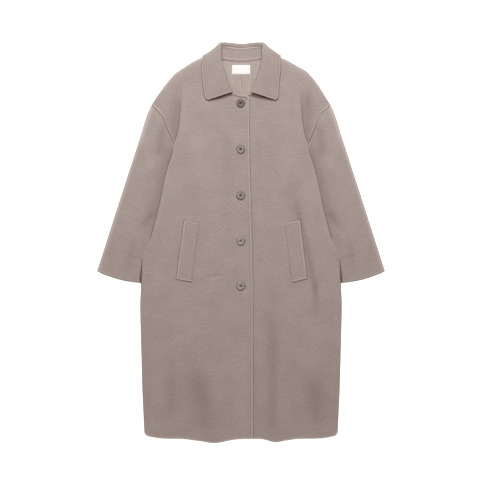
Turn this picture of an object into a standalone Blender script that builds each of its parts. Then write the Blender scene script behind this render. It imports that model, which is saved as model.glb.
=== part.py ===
"""A long wool coat laid flat on its back, buttoned, with its sleeves beside it.

The frame: X runs across the coat, Y from hem to collar, Z up from the surface it
lies on. Sizes are in millimetres and become metres where points are placed.
"Out" is a distance from the centre line, and "up" one from the hem's lowest point.
"""

import math
from collections import namedtuple

import bmesh
import bpy
import numpy as np
from mathutils import Vector
from mathutils.bvhtree import BVHTree

# Driving dimensions
MM = 0.001
LENGTH = 1202.0
CLOTH = 2.4
LINING = 1.0
LABEL = 0.8
WELT = 2.2
GAP = 0.3
LOFT = 1.5
FRONT_TOP = 2 * CLOTH + GAP + LOFT
OVERLAP_RISE = CLOTH + GAP
LEAF_RISE = 3.2
LEAF_RUN = 90.0
EDGE_ROLL = 5.1
EDGE_FOOT = 0.9
EDGE_CLEAR = 0.1
PART_ROLLS = (0.74, 0.94)
BACK_INSET = EDGE_ROLL + 0.4
COLLAR_AXIS = 2.0
COLLAR_BEND = 4.0
SLEEVE_CROWN = 3.0
CROWN_STARTS = 0.2
BESIDE_SIDE = 0.7
LEAVES_SIDE_UP = 620.0
PIT_CLEAR = 0.5
TIP_CLEAR = 1.2
LEAF_SHORT = 3.0
ROLL_MOST = 0.6
SAME_PLACE = 1e-6
ABOVE_ALL = 1000.0

# Counts of rows and columns in the cloth's grids
LOW_ROWS = 9
SLEEVE_ROWS = 14
ARM_ROWS = 7
SHOULDER_ROWS = 12
PANEL_COLUMNS = 9
BACK_COLUMNS = 8
COLLAR_SECTIONS = 41
FALL_STEPS = 6
STAND_STEPS = 5
PATH_SAMPLES = 400
LINING_GRID = (13, 10)
WELT_GRID = (6, 15)
LABEL_GRID = (6, 7)
ROLL_ANGLES = np.radians([0, 0, 30, 60, 90])
SLEEVE_ANGLES = np.radians([45, 0, -45])
COLLAR_ANGLES = np.radians([-90, -45, 0, 45, 90])

Edge = namedtuple("Edge", "up out")
SIDE_EDGE = (
    Edge(0, 288.5), Edge(30, 290.4), Edge(99, 293.7), Edge(174, 297.0), Edge(264, 299.4),
    Edge(339, 301.5), Edge(414, 303.0), Edge(459, 301.3), Edge(543, 297.6), Edge(562, 293.1),
    Edge(587, 284.1), Edge(611, 272.5), Edge(648, 262.5), Edge(706, 247.2), Edge(768, 234.9),
    Edge(826, 221.0), Edge(879, 204.4), Edge(896, 201.3),
)
ARMHOLE = (
    Edge(896, 201.3), Edge(916, 209.8), Edge(936, 218.6), Edge(953, 225.4), Edge(972, 232.2),
    Edge(991, 245.2), Edge(1013, 269.0),
)
SHOULDER = (
    Edge(1013, 269.0), Edge(1055.5, 241.5), Edge(1096, 211.5), Edge(1112, 196.5),
    Edge(1122.5, 181.5), Edge(1140.5, 151.5), Edge(1152, 123.5), Edge(1154, 117),
    Edge(1157.8, 104), Edge(1162, 95.5),
)
FRONT_NECK = (
    Edge(1044.5, -19), Edge(1046, -10), Edge(1047, 0), Edge(1048.3, 13), Edge(1051.5, 31),
    Edge(1059, 46), Edge(1080, 64), Edge(1108, 80), Edge(1140, 90.5), Edge(1158, 91.5),
)
BACK_NECK = (Edge(1146, 0), Edge(1148, 28), Edge(1152, 50), Edge(1157, 72), Edge(1159.4, 92))
LEAF_LINE = (
    Edge(1119, 0), Edge(1120, 36), Edge(1137, 80), Edge(1150, 104), Edge(1154, 112),
    Edge(1168, 125), Edge(1210, 150), Edge(1300, 200),
)
CUFF = (
    Edge(480, 300.6), Edge(482.4, 322.5), Edge(486.9, 349.5), Edge(494.1, 376.5),
    Edge(503.1, 403.5), Edge(510.3, 421.5), Edge(516.6, 432.0),
)
SLEEVE_OUTSIDE = (
    Edge(1013, 269.0), Edge(997.5, 277.2), Edge(967.5, 288.4), Edge(937.5, 297.7),
    Edge(907.5, 306.4), Edge(700, 373.4), Edge(516.6, 432.0),
)
ARMPIT = ARMHOLE[0]
SHOULDER_TIP = ARMHOLE[-1]

# Centre edge of each front: how far it passes the centre line, by height
TOP_FRONT_PASS = (
    Edge(0, 36.3), Edge(369, 36.0), Edge(549, 34.2), Edge(729, 29.8), Edge(879, 25.6),
    Edge(1035, 24.6),
)
UNDER_FRONT_PASS = (Edge(0, 27.0), Edge(1035, 27.0))
PLACKET_OUT = (66.0, 55.0, 44.0, 32.0, 8.0)
FRONT_CORNER_UP = 1036.5
FRONT_AT_TIP_UP = 1010.0

# Hem: its level, its two dips, and the way it turns up at the sides
HEM_LEVEL = 13.6
HEM_FADE = 220.0
Dip = namedtuple("Dip", "x depth spread")
HEM_DIPS = (Dip(-80, 13.4, 46), Dip(105, 10.6, 29))
Turn = namedtuple("Turn", "inside rise")
HEM_CORNER = (Turn(0, 17), Turn(4.5, 10.5), Turn(13, 7), Turn(28, 4), Turn(50, 1), Turn(70, 0))

# The shoulders lie unevenly: how far each is raised, and where
Lift = namedtuple("Lift", "x spread height")
SHOULDER_LIFTS = (Lift(-182, 42, -2.0), Lift(214, 42, 4.6))
LIFT_STARTS = (1020.0, 1070.0)

# Soft folds of the fronts: a line from one end to the other, and its height there
Fold = namedtuple("Fold", "x0 up0 x1 up1 spread height")
FOLD_ENDS = (-0.25, 0.2, 0.8, 1.25)
FOLDS = (
    Fold(-180, 900, -163, 1060, 14, 1.2),
    Fold(-199, 905, -182, 1075, 11, -1.3),
    Fold(180, 900, 163, 1060, 14, 1.2),
    Fold(199, 905, 182, 1075, 11, -1.3),
    Fold(-222, 850, -272, 590, 18, 1.8),
    Fold(222, 850, 272, 590, 18, 1.8),
    Fold(168, 720, 221, 470, 14, -1.2),
    Fold(232, 465, 240, 375, 16, -0.9),
    Fold(248, 330, 256, 150, 22, 1.0),
    Fold(-165, 380, -172, 20, 26, 1.8),
    Fold(-104, 350, -98, 0, 24, -1.2),
    Fold(-38, 340, -34, 10, 30, 1.4),
    Fold(88, 420, 92, 0, 24, -1.2),
    Fold(150, 410, 142, 20, 26, 1.8),
    Fold(-245, 400, -255, 140, 24, 1.2),
    Fold(-130, 930, -126, 770, 36, 1.6),
    Fold(201, 800, 212, 650, 16, 1.2),
)

# Collar: a row for each section of half of it, from the centre of the back to the front
Section = namedtuple(
    "Section",
    "roll_out roll_up roll_z edge_out edge_up edge_z turn leg neck_out neck_up",
)
COLLAR = (
    Section(0, 1195.5, 4.0, 0, 1119, 0, -90, 12, 0, 1146),
    Section(30, 1199.5, 4.0, 36, 1120, 0, -90, 12, 28, 1148),
    Section(51, 1201.4, 4.3, 80, 1137, 0, -82, 12, 50, 1152),
    Section(58, 1201.4, 5.2, 112, 1154.5, 0, -45, 11, 72, 1157),
    Section(60, 1199.5, 12, 118, 1161.5, 6.5, 0, 10, 88.5, 1160),
    Section(60.5, 1189, 17, 117.5, 1148, 12.5, 60, 9, 91, 1153),
    Section(60.5, 1160, 19, 117, 1119, 9.8, 90, 8, 90, 1140),
    Section(56, 1129, 19, 112.5, 1078, 9.8, 90, 7, 80, 1108),
    Section(47, 1097, 17.5, 110, 1050, 10.6, 90, 5.5, 64, 1080),
    Section(36, 1067, 16.3, 106, 1034, 11.0, 90, 3.5, 46, 1059),
    Section(27.5, 1051, 16.0, 98, 1028, 11.8, 90, 1.0, 31, 1051.5),
)
FALL_CURVE = 1.5
ON_FRONT_TURN = 45.0
STAND_REACH = 8.8
SEWN_IN = 0.6
LEAN_IN = 2.0

# Welts, buttons, lining and label
Pocket = namedtuple("Pocket", "name x up lean end_lean")
POCKETS = (
    Pocket("welt_right", -160.6, 579.2, 7.8, -3.6),
    Pocket("welt_left", 164.2, 579.0, -6.8, 8.9),
)
WELT_SIZE = (46.5, 180.5)
BUTTON_UPS = (1018.4, 880.6, 742.6, 606.1, 471.6)
BUTTON_X = -1.0
BUTTON_SIDES = 24
Turned = namedtuple("Turned", "radius height")
BUTTON_PROFILE = (
    Turned(0, 0), Turned(10.2, 0), Turned(12.3, 1.2), Turned(12.5, 2.4), Turned(11.6, 3.6),
    Turned(10.2, 3.9), Turned(8.8, 3.2), Turned(7.6, 2.5), Turned(0, 2.3),
)
HOLE_RADIUS = 1.1
HOLE_OFFSET = 2.1
HOLE_SIDES = 8
PEG_DEPTH = 20.0
LINING_LOW = 1028.0
LINING_WIDTHS = (Edge(1028, 44), Edge(1060, 48), Edge(1100, 66), Edge(1150, 80))
LINING_BELOW_NECK = 4.0
LABEL_SIZE = (54.6, 28.0)
LABEL_PLACE = (0.3, 1120.0)


def eased(low, high, value):
    """0 below low, 1 above high, and a soft step between."""
    t = np.clip((value - low) / (high - low), 0.0, 1.0)
    return t * t * (3 - 2 * t)


def along(places, values, at):
    """A smooth curve through a table's rows that never swings past them."""
    x = np.asarray(places, float)
    y = np.asarray(values, float)
    step = np.diff(x)
    rise = np.diff(y) / step
    slope = np.zeros(len(x))
    slope[0], slope[-1] = rise[0], rise[-1]
    same_way = rise[:-1] * rise[1:] > 0
    both = np.where(same_way, rise[:-1] + rise[1:], 1.0)
    slope[1:-1] = np.where(same_way, 2 * rise[:-1] * rise[1:] / both, 0.0)
    at = np.clip(np.asarray(at, float), x[0], x[-1])
    k = np.clip(np.searchsorted(x, at, side="right") - 1, 0, len(x) - 2)
    t = (at - x[k]) / step[k]
    return (
        y[k] * (1 + 2 * t) * (1 - t) ** 2
        + slope[k] * step[k] * t * (1 - t) ** 2
        + y[k + 1] * t * t * (3 - 2 * t)
        + slope[k + 1] * step[k] * t * t * (t - 1)
    )


def out_at(table, up):
    """A table's distance from the centre line, at a height."""
    return along([row.up for row in table], [row.out for row in table], up)


def up_at(table, out):
    """A table's height, at a distance from the centre line."""
    return along([row.out for row in table], [row.up for row in table], out)


def path(table, count):
    """Points (out, up) along a table's curve, evenly spaced by length."""
    corners = np.array([(row.out, row.up) for row in table], float)
    at = np.arange(len(corners))
    fine = np.linspace(0, len(corners) - 1, PATH_SAMPLES)
    points = np.column_stack([along(at, corners[:, i], fine) for i in (0, 1)])
    run = np.concatenate([[0], np.cumsum(np.linalg.norm(np.diff(points, axis=0), axis=1))])
    even = np.linspace(0, run[-1], count)
    return np.column_stack([np.interp(even, run, points[:, i]) for i in (0, 1)])


def hem_rise(x):
    """How far the hem lies above its lowest point."""
    inside = SIDE_EDGE[0].out - np.abs(x)
    rise = HEM_LEVEL + along(
        [row.inside for row in HEM_CORNER], [row.rise for row in HEM_CORNER], inside
    )
    for dip in HEM_DIPS:
        rise = rise - dip.depth * np.exp(-(((x - dip.x) / dip.spread) ** 2))
    return rise


def as_laid(x, up):
    """The height of a row's point, once the hem's curve and the uneven shoulders are worked in."""
    raised = sum(lift.height * np.exp(-(((x - lift.x) / lift.spread) ** 2)) for lift in SHOULDER_LIFTS)
    return up + hem_rise(x) * (1 - eased(0, HEM_FADE, up)) + raised * eased(*LIFT_STARTS, up)


def leaf_rise(x, up):
    """How far the collar's folded-back leaf lifts the cloth that lies on it."""
    edge = up_at(LEAF_LINE, np.abs(x - COLLAR_AXIS))
    return LEAF_RISE * eased(edge - LEAF_RUN, edge - LEAF_SHORT, up)


def fold_rise(x, up):
    """How far the folds lift the cloth. Each one fades out at its ends."""
    total = np.zeros(np.shape(x))
    for fold in FOLDS:
        dx, dup = fold.x1 - fold.x0, fold.up1 - fold.up0
        reach = math.hypot(dx, dup)
        t = ((x - fold.x0) * dx + (up - fold.up0) * dup) / reach**2
        aside = ((x - fold.x0) * dup - (up - fold.up0) * dx) / reach
        fade = eased(*FOLD_ENDS[:2], t) * (1 - eased(*FOLD_ENDS[2:], t))
        total = total + fold.height * fade * np.exp(-((aside / fold.spread) ** 2))
    return total


def back_top(x, up):
    """The inner face of the back, which the lining and the fronts lie on."""
    return CLOTH + leaf_rise(x, up)


def front_top(x, up, on_top):
    """The outer face of a front. The one on top rises over the other's edge."""
    rise = OVERLAP_RISE * eased(-PLACKET_OUT[0], -PLACKET_OUT[3], x) if on_top else 0.0
    return FRONT_TOP + leaf_rise(x, up) + fold_rise(x, up) + rise


def outer_rows():
    """The coat's edge from hem to neck, as (out, up) rows, and how far each rolls under."""
    low = np.linspace(0, CUFF[0].up, LOW_ROWS, endpoint=False)
    beside_sleeve = np.linspace(CUFF[0].up, ARMPIT.up, SLEEVE_ROWS, endpoint=False)
    side = np.concatenate([low, beside_sleeve])
    arm = np.linspace(ARMPIT.up, SHOULDER_TIP.up, ARM_ROWS, endpoint=False)
    side_up = as_laid(np.full(len(side), SIDE_EDGE[0].out), side)
    rows = np.concatenate([
        np.column_stack([out_at(SIDE_EDGE, side_up), side]),
        np.column_stack([out_at(ARMHOLE, arm), arm]),
        path(SHOULDER, SHOULDER_ROWS + 1),
    ])
    roll = np.ones(len(rows))
    pit, tip = len(side), len(side) + ARM_ROWS
    for away, part in enumerate(PART_ROLLS, start=1):
        roll[[pit - away, tip + away]] = part
    roll[pit:tip + 1] = 0
    return rows, roll


def inward(rows):
    """The way in from each point of the edge."""
    run = np.gradient(rows, axis=0)
    way = np.column_stack([-run[:, 1], run[:, 0]])
    return way / np.linalg.norm(way, axis=1)[:, None]


def front_grid(side, on_top):
    """A front's outer face, as rows from the coat's edge to the centre edge."""
    rows, roll = outer_rows()
    way = inward(rows)
    passes = TOP_FRONT_PASS if on_top else UNDER_FRONT_PASS
    first_neck = len(rows) - SHOULDER_ROWS
    straight = np.concatenate([
        rows[:first_neck - ARM_ROWS - 1, 1],
        np.linspace(ARMPIT.up, FRONT_AT_TIP_UP, ARM_ROWS + 1),
        [FRONT_CORNER_UP],
    ])
    centre = np.column_stack([-out_at(passes, straight), straight])
    neck = path((Edge(FRONT_CORNER_UP, centre[-1, 0]),) + FRONT_NECK, SHOULDER_ROWS)
    centre = np.concatenate([centre, neck[1:]])
    reach = np.linalg.norm(centre - rows, axis=1)
    depth = np.minimum(EDGE_ROLL, ROLL_MOST * reach)
    rolled = 1 - np.cos(ROLL_ANGLES)
    flat = np.linspace(0, 1, len(ROLL_ANGLES))
    plan, share, foot = [], None, []
    for i, (edge, middle) in enumerate(zip(rows, centre)):
        steps = depth[i] * (roll[i] * rolled + (1 - roll[i]) * flat)
        bend = edge + way[i] * steps[:, None]
        inner = bend[-1]
        if i <= first_neck:
            places = np.concatenate([
                np.linspace(inner[0], PLACKET_OUT[0], PANEL_COLUMNS)[1:],
                PLACKET_OUT[1:],
                [middle[0]],
            ])
            share = (inner[0] - places) / (inner[0] - middle[0])
        plan.append(np.concatenate([bend, inner + (middle - inner) * share[:, None]]))
        sine = np.concatenate([np.sin(ROLL_ANGLES), np.ones(len(share))])
        foot.append(1 - roll[i] * (1 - sine))
    plan, foot = np.array(plan), np.array(foot)
    x = side * plan[:, :, 0]
    up = as_laid(x, plan[:, :, 1])
    top = front_top(x, up, on_top)
    floor = leaf_rise(x, up)
    raised = np.ones(foot.shape)
    raised[:, 0] = 1 - roll
    low = floor + EDGE_CLEAR + EDGE_FOOT * raised
    z = np.where(foot < 1, low + (top - low) * foot, top)
    return np.stack([x, up, z], axis=2)


def back_grid():
    """The back's inner face, from one side to the other, inside the fronts' rolled edges."""
    rows, roll = outer_rows()
    pit = LOW_ROWS + SLEEVE_ROWS
    inset = BACK_INSET * (roll > 0)
    inset[pit] = BACK_INSET
    edge = rows + inward(rows) * inset[:, None]
    first_neck = len(rows) - SHOULDER_ROWS
    middle_up = np.concatenate([
        rows[:first_neck - ARM_ROWS - 1, 1],
        np.linspace(ARMPIT.up, FRONT_AT_TIP_UP, ARM_ROWS + 1),
        np.linspace(FRONT_AT_TIP_UP, BACK_NECK[0].up, SHOULDER_ROWS + 1)[1:],
    ])
    share = np.linspace(1, 0, BACK_COLUMNS)
    out = edge[:, :1] * share
    level = middle_up[:, None] + (edge[:, 1] - middle_up)[:, None] * share
    neck = up_at(BACK_NECK, out[-1])
    bow = np.zeros(len(rows))
    bow[first_neck:] = np.linspace(0, 1, SHOULDER_ROWS)
    level = level + bow[:, None] * (neck - level[-1])
    x = np.concatenate([-out, out[:, -2::-1]], axis=1)
    up = as_laid(x, np.concatenate([level, level[:, -2::-1]], axis=1))
    return np.stack([x, up, back_top(x, up)], axis=2)


def sleeve_grid(side):
    """A flattened tube from the armhole to the cuff, a ring of points for each section."""
    rows, _ = outer_rows()
    way = inward(rows)
    low, tip = LOW_ROWS, LOW_ROWS + SLEEVE_ROWS + ARM_ROWS
    pit = LOW_ROWS + SLEEVE_ROWS
    hole = rows[pit:tip + 1] - inward(rows[pit:tip + 1]) * GAP
    clear = BESIDE_SIDE + (CUFF[0].out - rows[low, 0] - BESIDE_SIDE) * (
        1 - eased(CUFF[0].up, LEAVES_SIDE_UP, rows[low:pit + 1, 1])
    )
    inside = (rows[low:pit + 1] - way[low:pit + 1] * clear[:, None])[::-1]
    inside[0] = hole[0] + (inside[0] - rows[pit]) * PIT_CLEAR
    inside[-1] = CUFF[0].out, CUFF[0].up
    outside = path(SLEEVE_OUTSIDE, SLEEVE_ROWS + 1)
    downward = outside[1] - hole[-1]
    outside[0] = hole[-1] + downward / np.linalg.norm(downward) * TIP_CLEAR
    share = np.linspace(0, 1, ARM_ROWS + 1)
    arm_bow = hole - (hole[:1] + (hole[-1:] - hole[:1]) * share[:, None])
    cuff = path(CUFF, ARM_ROWS + 1)
    cuff_bow = cuff - (cuff[:1] + (cuff[-1:] - cuff[:1]) * share[:, None])
    bend = FRONT_TOP / 2
    rings = []
    for i in range(SLEEVE_ROWS + 1):
        t = i / SLEEVE_ROWS
        line = inside[i] + (outside[i] - inside[i]) * share[:, None]
        line = line + (1 - t) ** 2 * arm_bow + t**2 * cuff_bow
        run = np.concatenate([[0], np.cumsum(np.linalg.norm(np.diff(line, axis=0), axis=1))])
        across = bend + (run[-1] - 2 * bend) * share
        crown = SLEEVE_CROWN * eased(0, CROWN_STARTS, t) * 4 * share * (1 - share)
        places = np.concatenate([
            across,
            run[-1] - bend + bend * np.cos(SLEEVE_ANGLES),
            across[::-1],
            bend - bend * np.cos(SLEEVE_ANGLES[::-1]),
        ])
        heights = np.concatenate([
            FRONT_TOP + crown,
            bend + bend * np.sin(SLEEVE_ANGLES),
            np.zeros(len(share)),
            bend + bend * np.sin(SLEEVE_ANGLES[::-1]),
        ])
        out, up = (np.interp(places, run, line[:, k]) for k in (0, 1))
        rings.append(np.column_stack([side * out, up, heights]))
    return np.array(rings)


def collar_rows():
    """Sections of the whole collar, from its right end to its left end."""
    table = np.array(COLLAR, float)
    flip = np.array([-1, 1, 1, -1, 1, 1, 1, 1, -1, 1])
    whole = np.concatenate([table[:0:-1] * flip, table])
    ends = len(COLLAR) - 1
    index = np.arange(-ends, ends + 1)
    at = np.linspace(-ends, ends, COLLAR_SECTIONS)
    columns = [along(index, whole[:, k], at) for k in range(whole.shape[1])]
    return at, [Section(*row) for row in np.column_stack(columns)]


def collar_frame(row, left):
    """Where a section's bend is: the roll, the ways out and round, and the way to the neck."""
    roll = np.array([row.roll_out, row.roll_up, row.roll_z])
    fall = np.array([row.edge_out - row.roll_out, row.edge_up - row.roll_up, 0])
    neck = np.array([row.neck_out - row.roll_out, row.neck_up - row.roll_up, 0])
    fall, neck = fall / np.linalg.norm(fall), neck / np.linalg.norm(neck)
    turn = math.radians(row.turn)
    square = np.array([-fall[1], fall[0], 0]) * (1 if left else -1)
    round_way = square * math.cos(turn) + np.array([0, 0, math.sin(turn)])
    return roll, fall, round_way, neck


def collar_fall_grid():
    """The collar's fall: a short leg inside, the bend at the roll line, and the outer leaf."""
    sections = []
    for at, row in zip(*collar_rows()):
        roll, fall, round_way, neck = collar_frame(row, at >= 0)
        hub = roll + fall * COLLAR_BEND
        bend = [
            hub + COLLAR_BEND * (round_way * math.sin(a) - fall * math.cos(a))
            for a in COLLAR_ANGLES
        ]
        points = [bend[0] + neck * row.leg] + bend
        edge = np.array([row.edge_out, row.edge_up, row.edge_z])
        for q in np.linspace(0, 1, FALL_STEPS + 1)[1:]:
            point = bend[-1] + (edge - bend[-1]) * q
            left_over = (1 - q) ** FALL_CURVE * (1 + FALL_CURVE * q)
            point[2] = edge[2] + (bend[-1][2] - edge[2]) * left_over
            if row.turn > ON_FRONT_TURN:
                under = front_top(point[0] + COLLAR_AXIS, point[1], on_top=at < 0)
                point[2] = max(point[2], under + CLOTH + 2 * GAP)
            point[2] = max(point[2], 0)
            points.append(point)
        sections.append(points)
    return np.array(sections) + [COLLAR_AXIS, 0, 0]


def collar_stand_grid():
    """The collar's stand, from the neck seam to the fall's inner leg."""
    sections = []
    for at, row in zip(*collar_rows()):
        if abs(at) > STAND_REACH:
            continue
        roll, fall, round_way, neck = collar_frame(row, at >= 0)
        top = roll + fall * COLLAR_BEND - round_way * COLLAR_BEND + neck * (row.leg + SEWN_IN)
        top[0] += COLLAR_AXIS
        on_back = (1 - math.sin(math.radians(row.turn))) / 2
        clear = SEWN_IN + (1 - on_back) * LEAN_IN
        x, up = row.neck_out - neck[0] * clear, row.neck_up - neck[1] * clear
        on_front = front_top(x, up, on_top=at < 0) - CLOTH
        bottom = np.array([x, up, on_back * back_top(x, up) + (1 - on_back) * on_front])
        sections.append([bottom + (top - bottom) * q for q in np.linspace(0, 1, STAND_STEPS)])
    return np.array(sections)


def lining_plan():
    """The back neck's lining, as far as it shows and a little under the fronts."""
    share = np.linspace(-1, 1, LINING_GRID[0])
    top = up_at(BACK_NECK, np.abs(share) * LINING_WIDTHS[-1].out) - LINING_BELOW_NECK
    rows = []
    for q in np.linspace(0, 1, LINING_GRID[1]):
        up = LINING_LOW + (top - LINING_LOW) * q
        rows.append(np.column_stack([share * out_at(LINING_WIDTHS, up), up]))
    return np.array(rows)


def placed(point):
    """A point of the coat in metres, with the coat's middle over the origin."""
    return Vector((point[0], point[1] - LENGTH / 2, point[2])) * MM


def cloth_object(name, grid, thickness, material, outside_is_left=False):
    """A grid of points as cloth: its outer face is the grid, and its wall lies inside."""
    rows, columns = grid.shape[:2]
    mesh = bmesh.new()
    bmesh.ops.create_grid(mesh, x_segments=columns - 1, y_segments=rows - 1, size=1)
    for vert in mesh.verts:
        i = round((vert.co.x + 1) / 2 * (columns - 1))
        j = round((vert.co.y + 1) / 2 * (rows - 1))
        vert.co = placed(grid[j, i])
    if outside_is_left:
        bmesh.ops.reverse_faces(mesh, faces=mesh.faces)
    return finished(name, mesh, material, thickness)


def tube_object(name, rings, thickness, material):
    """Rings of points as a tube of cloth, open at both ends."""
    closed = np.concatenate([rings, rings[:, :1]], axis=1)
    rows, columns = closed.shape[:2]
    mesh = bmesh.new()
    bmesh.ops.create_grid(mesh, x_segments=columns - 1, y_segments=rows - 1, size=1)
    for vert in mesh.verts:
        i = round((vert.co.x + 1) / 2 * (columns - 1))
        j = round((vert.co.y + 1) / 2 * (rows - 1))
        vert.co = placed(closed[j, i])
    bmesh.ops.remove_doubles(mesh, verts=mesh.verts, dist=SAME_PLACE)
    mesh.normal_update()
    highest = max(mesh.faces, key=lambda face: face.calc_center_median().z)
    if highest.normal.z < 0:
        bmesh.ops.reverse_faces(mesh, faces=mesh.faces)
    return finished(name, mesh, material, thickness)


def finished(name, mesh, material, thickness=None):
    """A named object from a bmesh, with its material, its wall and smooth shading."""
    data = bpy.data.meshes.new(name)
    mesh.to_mesh(data)
    mesh.free()
    data.materials.append(material)
    data.shade_smooth()
    obj = bpy.data.objects.new(name, data)
    bpy.context.scene.collection.objects.link(obj)
    if thickness:
        wall = obj.modifiers.new("wall", "SOLIDIFY")
        wall.thickness = thickness * MM
        wall.offset = -1
        wall.use_even_offset = True
        wall.use_quality_normals = True
    return obj


def surface_of(obj):
    """The object's outer face, for setting other pieces on it."""
    mesh = bmesh.new()
    mesh.from_mesh(obj.data)
    tree = BVHTree.FromBMesh(mesh)
    mesh.free()
    return tree


def top_under(tree, x, up):
    """The height of that face, in millimetres, under a place on the coat."""
    start = placed((x, up, ABOVE_ALL))
    hit = tree.ray_cast(start, Vector((0, 0, -1)))[0]
    return hit.z / MM


def lying_on(tree, plan, thickness):
    """A piece's outer face, made from the points it lies on, moved out."""
    lift = GAP + thickness
    heights = [[top_under(tree, x, up) + lift for x, up in row] for row in plan]
    return np.concatenate([plan, np.array(heights)[:, :, None]], axis=2)


def welt_plan(pocket):
    """A leaning strip whose ends slope with its hand opening."""
    lean = math.radians(pocket.lean)
    end_slope = math.tan(math.radians(pocket.end_lean))
    rows = []
    for along_strip in np.linspace(-0.5, 0.5, WELT_GRID[1]) * WELT_SIZE[1]:
        row = []
        for across in np.linspace(-0.5, 0.5, WELT_GRID[0]) * WELT_SIZE[0]:
            length = along_strip + across * end_slope
            x = pocket.x + across * math.cos(lean) + length * math.sin(lean)
            up = pocket.up - across * math.sin(lean) + length * math.cos(lean)
            row.append((x, up))
        rows.append(row)
    return np.array(rows)


def label_plan():
    """The label's rectangle."""
    across = np.linspace(-0.5, 0.5, LABEL_GRID[0]) * LABEL_SIZE[0] + LABEL_PLACE[0]
    upward = np.linspace(-0.5, 0.5, LABEL_GRID[1]) * LABEL_SIZE[1] + LABEL_PLACE[1]
    return np.stack(np.meshgrid(across, upward), axis=2)


def turned_mesh(profile, sides):
    """A profile of (radius, height) points, turned once round the Z axis."""
    mesh = bmesh.new()
    verts = [mesh.verts.new((row.radius * MM, 0, row.height * MM)) for row in profile]
    edges = [mesh.edges.new(pair) for pair in zip(verts, verts[1:])]
    bmesh.ops.spin(
        mesh, geom=verts + edges, cent=(0, 0, 0), axis=(0, 0, 1),
        angle=2 * math.pi, steps=sides, use_merge=True,
    )
    bmesh.ops.remove_doubles(mesh, verts=mesh.verts, dist=SAME_PLACE)
    bmesh.ops.recalc_face_normals(mesh, faces=mesh.faces)
    return mesh


def hole_cutter():
    """Four pegs, one for each thread hole of a button."""
    mesh = bmesh.new()
    for sign_x in (-1, 1):
        for sign_y in (-1, 1):
            peg = bmesh.ops.create_cone(
                mesh, cap_ends=True, segments=HOLE_SIDES, depth=PEG_DEPTH * MM,
                radius1=HOLE_RADIUS * MM, radius2=HOLE_RADIUS * MM,
            )
            offset = Vector((sign_x, sign_y, 0)) * HOLE_OFFSET * MM
            bmesh.ops.translate(mesh, verts=peg["verts"], vec=offset)
    data = bpy.data.meshes.new("thread_holes")
    mesh.to_mesh(data)
    mesh.free()
    cutter = bpy.data.objects.new("thread_holes", data)
    cutter.hide_render = True
    cutter.display_type = "WIRE"
    bpy.context.scene.collection.objects.link(cutter)
    return cutter


def make_buttons(front, material):
    """Five like buttons, sewn through four holes, set on the upper front."""
    pattern = finished("button_1", turned_mesh(BUTTON_PROFILE, BUTTON_SIDES), material)
    cut = pattern.modifiers.new("holes", "BOOLEAN")
    cut.operation = "DIFFERENCE"
    cut.object = hole_cutter()
    bpy.context.view_layer.update()
    graph = bpy.context.evaluated_depsgraph_get()
    drilled = bpy.data.meshes.new_from_object(pattern.evaluated_get(graph))
    drilled.name = "button"
    pattern.modifiers.remove(cut)
    pattern.data = drilled
    reach = BUTTON_PROFILE[1].radius
    for number, up in enumerate(BUTTON_UPS, start=1):
        button = pattern
        if number > 1:
            button = bpy.data.objects.new(f"button_{number}", drilled)
            bpy.context.scene.collection.objects.link(button)
        seat = max(
            top_under(front, BUTTON_X + dx, up + dup)
            for dx in (-reach, 0, reach)
            for dup in (-reach, 0, reach)
        )
        button.location = placed((BUTTON_X, up, seat + GAP))


def material_of(name, colour, roughness):
    """A plain material for the solids."""
    material = bpy.data.materials.new(name)
    material.use_nodes = True
    shader = material.node_tree.nodes["Principled BSDF"]
    shader.inputs["Base Color"].default_value = (*colour, 1)
    shader.inputs["Roughness"].default_value = roughness
    shader.inputs["Metallic"].default_value = 0
    return material


def make_coat():
    """Every piece of the coat, from the back up."""
    for obj in list(bpy.data.objects):
        bpy.data.objects.remove(obj)
    wool = material_of("taupe_wool", (0.36, 0.31, 0.28), 0.9)
    satin = material_of("beige_lining", (0.45, 0.38, 0.33), 0.55)
    white = material_of("white_label", (0.86, 0.86, 0.84), 0.7)
    horn = material_of("brown_horn", (0.09, 0.06, 0.05), 0.35)

    back = cloth_object("back", back_grid(), CLOTH, wool)
    top = cloth_object("front_right", front_grid(-1, True), CLOTH, wool)
    under = cloth_object("front_left", front_grid(1, False), CLOTH, wool, outside_is_left=True)
    tube_object("sleeve_right", sleeve_grid(-1), CLOTH, wool)
    tube_object("sleeve_left", sleeve_grid(1), CLOTH, wool)
    cloth_object("collar_fall", collar_fall_grid(), CLOTH, wool, outside_is_left=True)
    cloth_object("collar_stand", collar_stand_grid(), CLOTH, wool, outside_is_left=True)
    lining_grid = lying_on(surface_of(back), lining_plan(), LINING)
    lining = cloth_object("neck_lining", lining_grid, LINING, satin)
    label_grid = lying_on(surface_of(lining), label_plan(), LABEL)
    cloth_object("label", label_grid, LABEL, white)
    fronts = {"welt_right": surface_of(top), "welt_left": surface_of(under)}
    for pocket in POCKETS:
        grid = lying_on(fronts[pocket.name], welt_plan(pocket), WELT)
        cloth_object(pocket.name, grid, WELT, wool)
    make_buttons(fronts["welt_right"], horn)


make_coat()
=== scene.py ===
# %% [markdown]
# # A long wool coat, laid flat
# The coat lies buttoned on its back, with its sleeves beside it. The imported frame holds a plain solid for
# every panel. This lesson dresses those solids: each panel becomes a fine sheet of felted wool on the same
# form, with stitched rims, pressed seams, soft folds, horn buttons and their thread.

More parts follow.
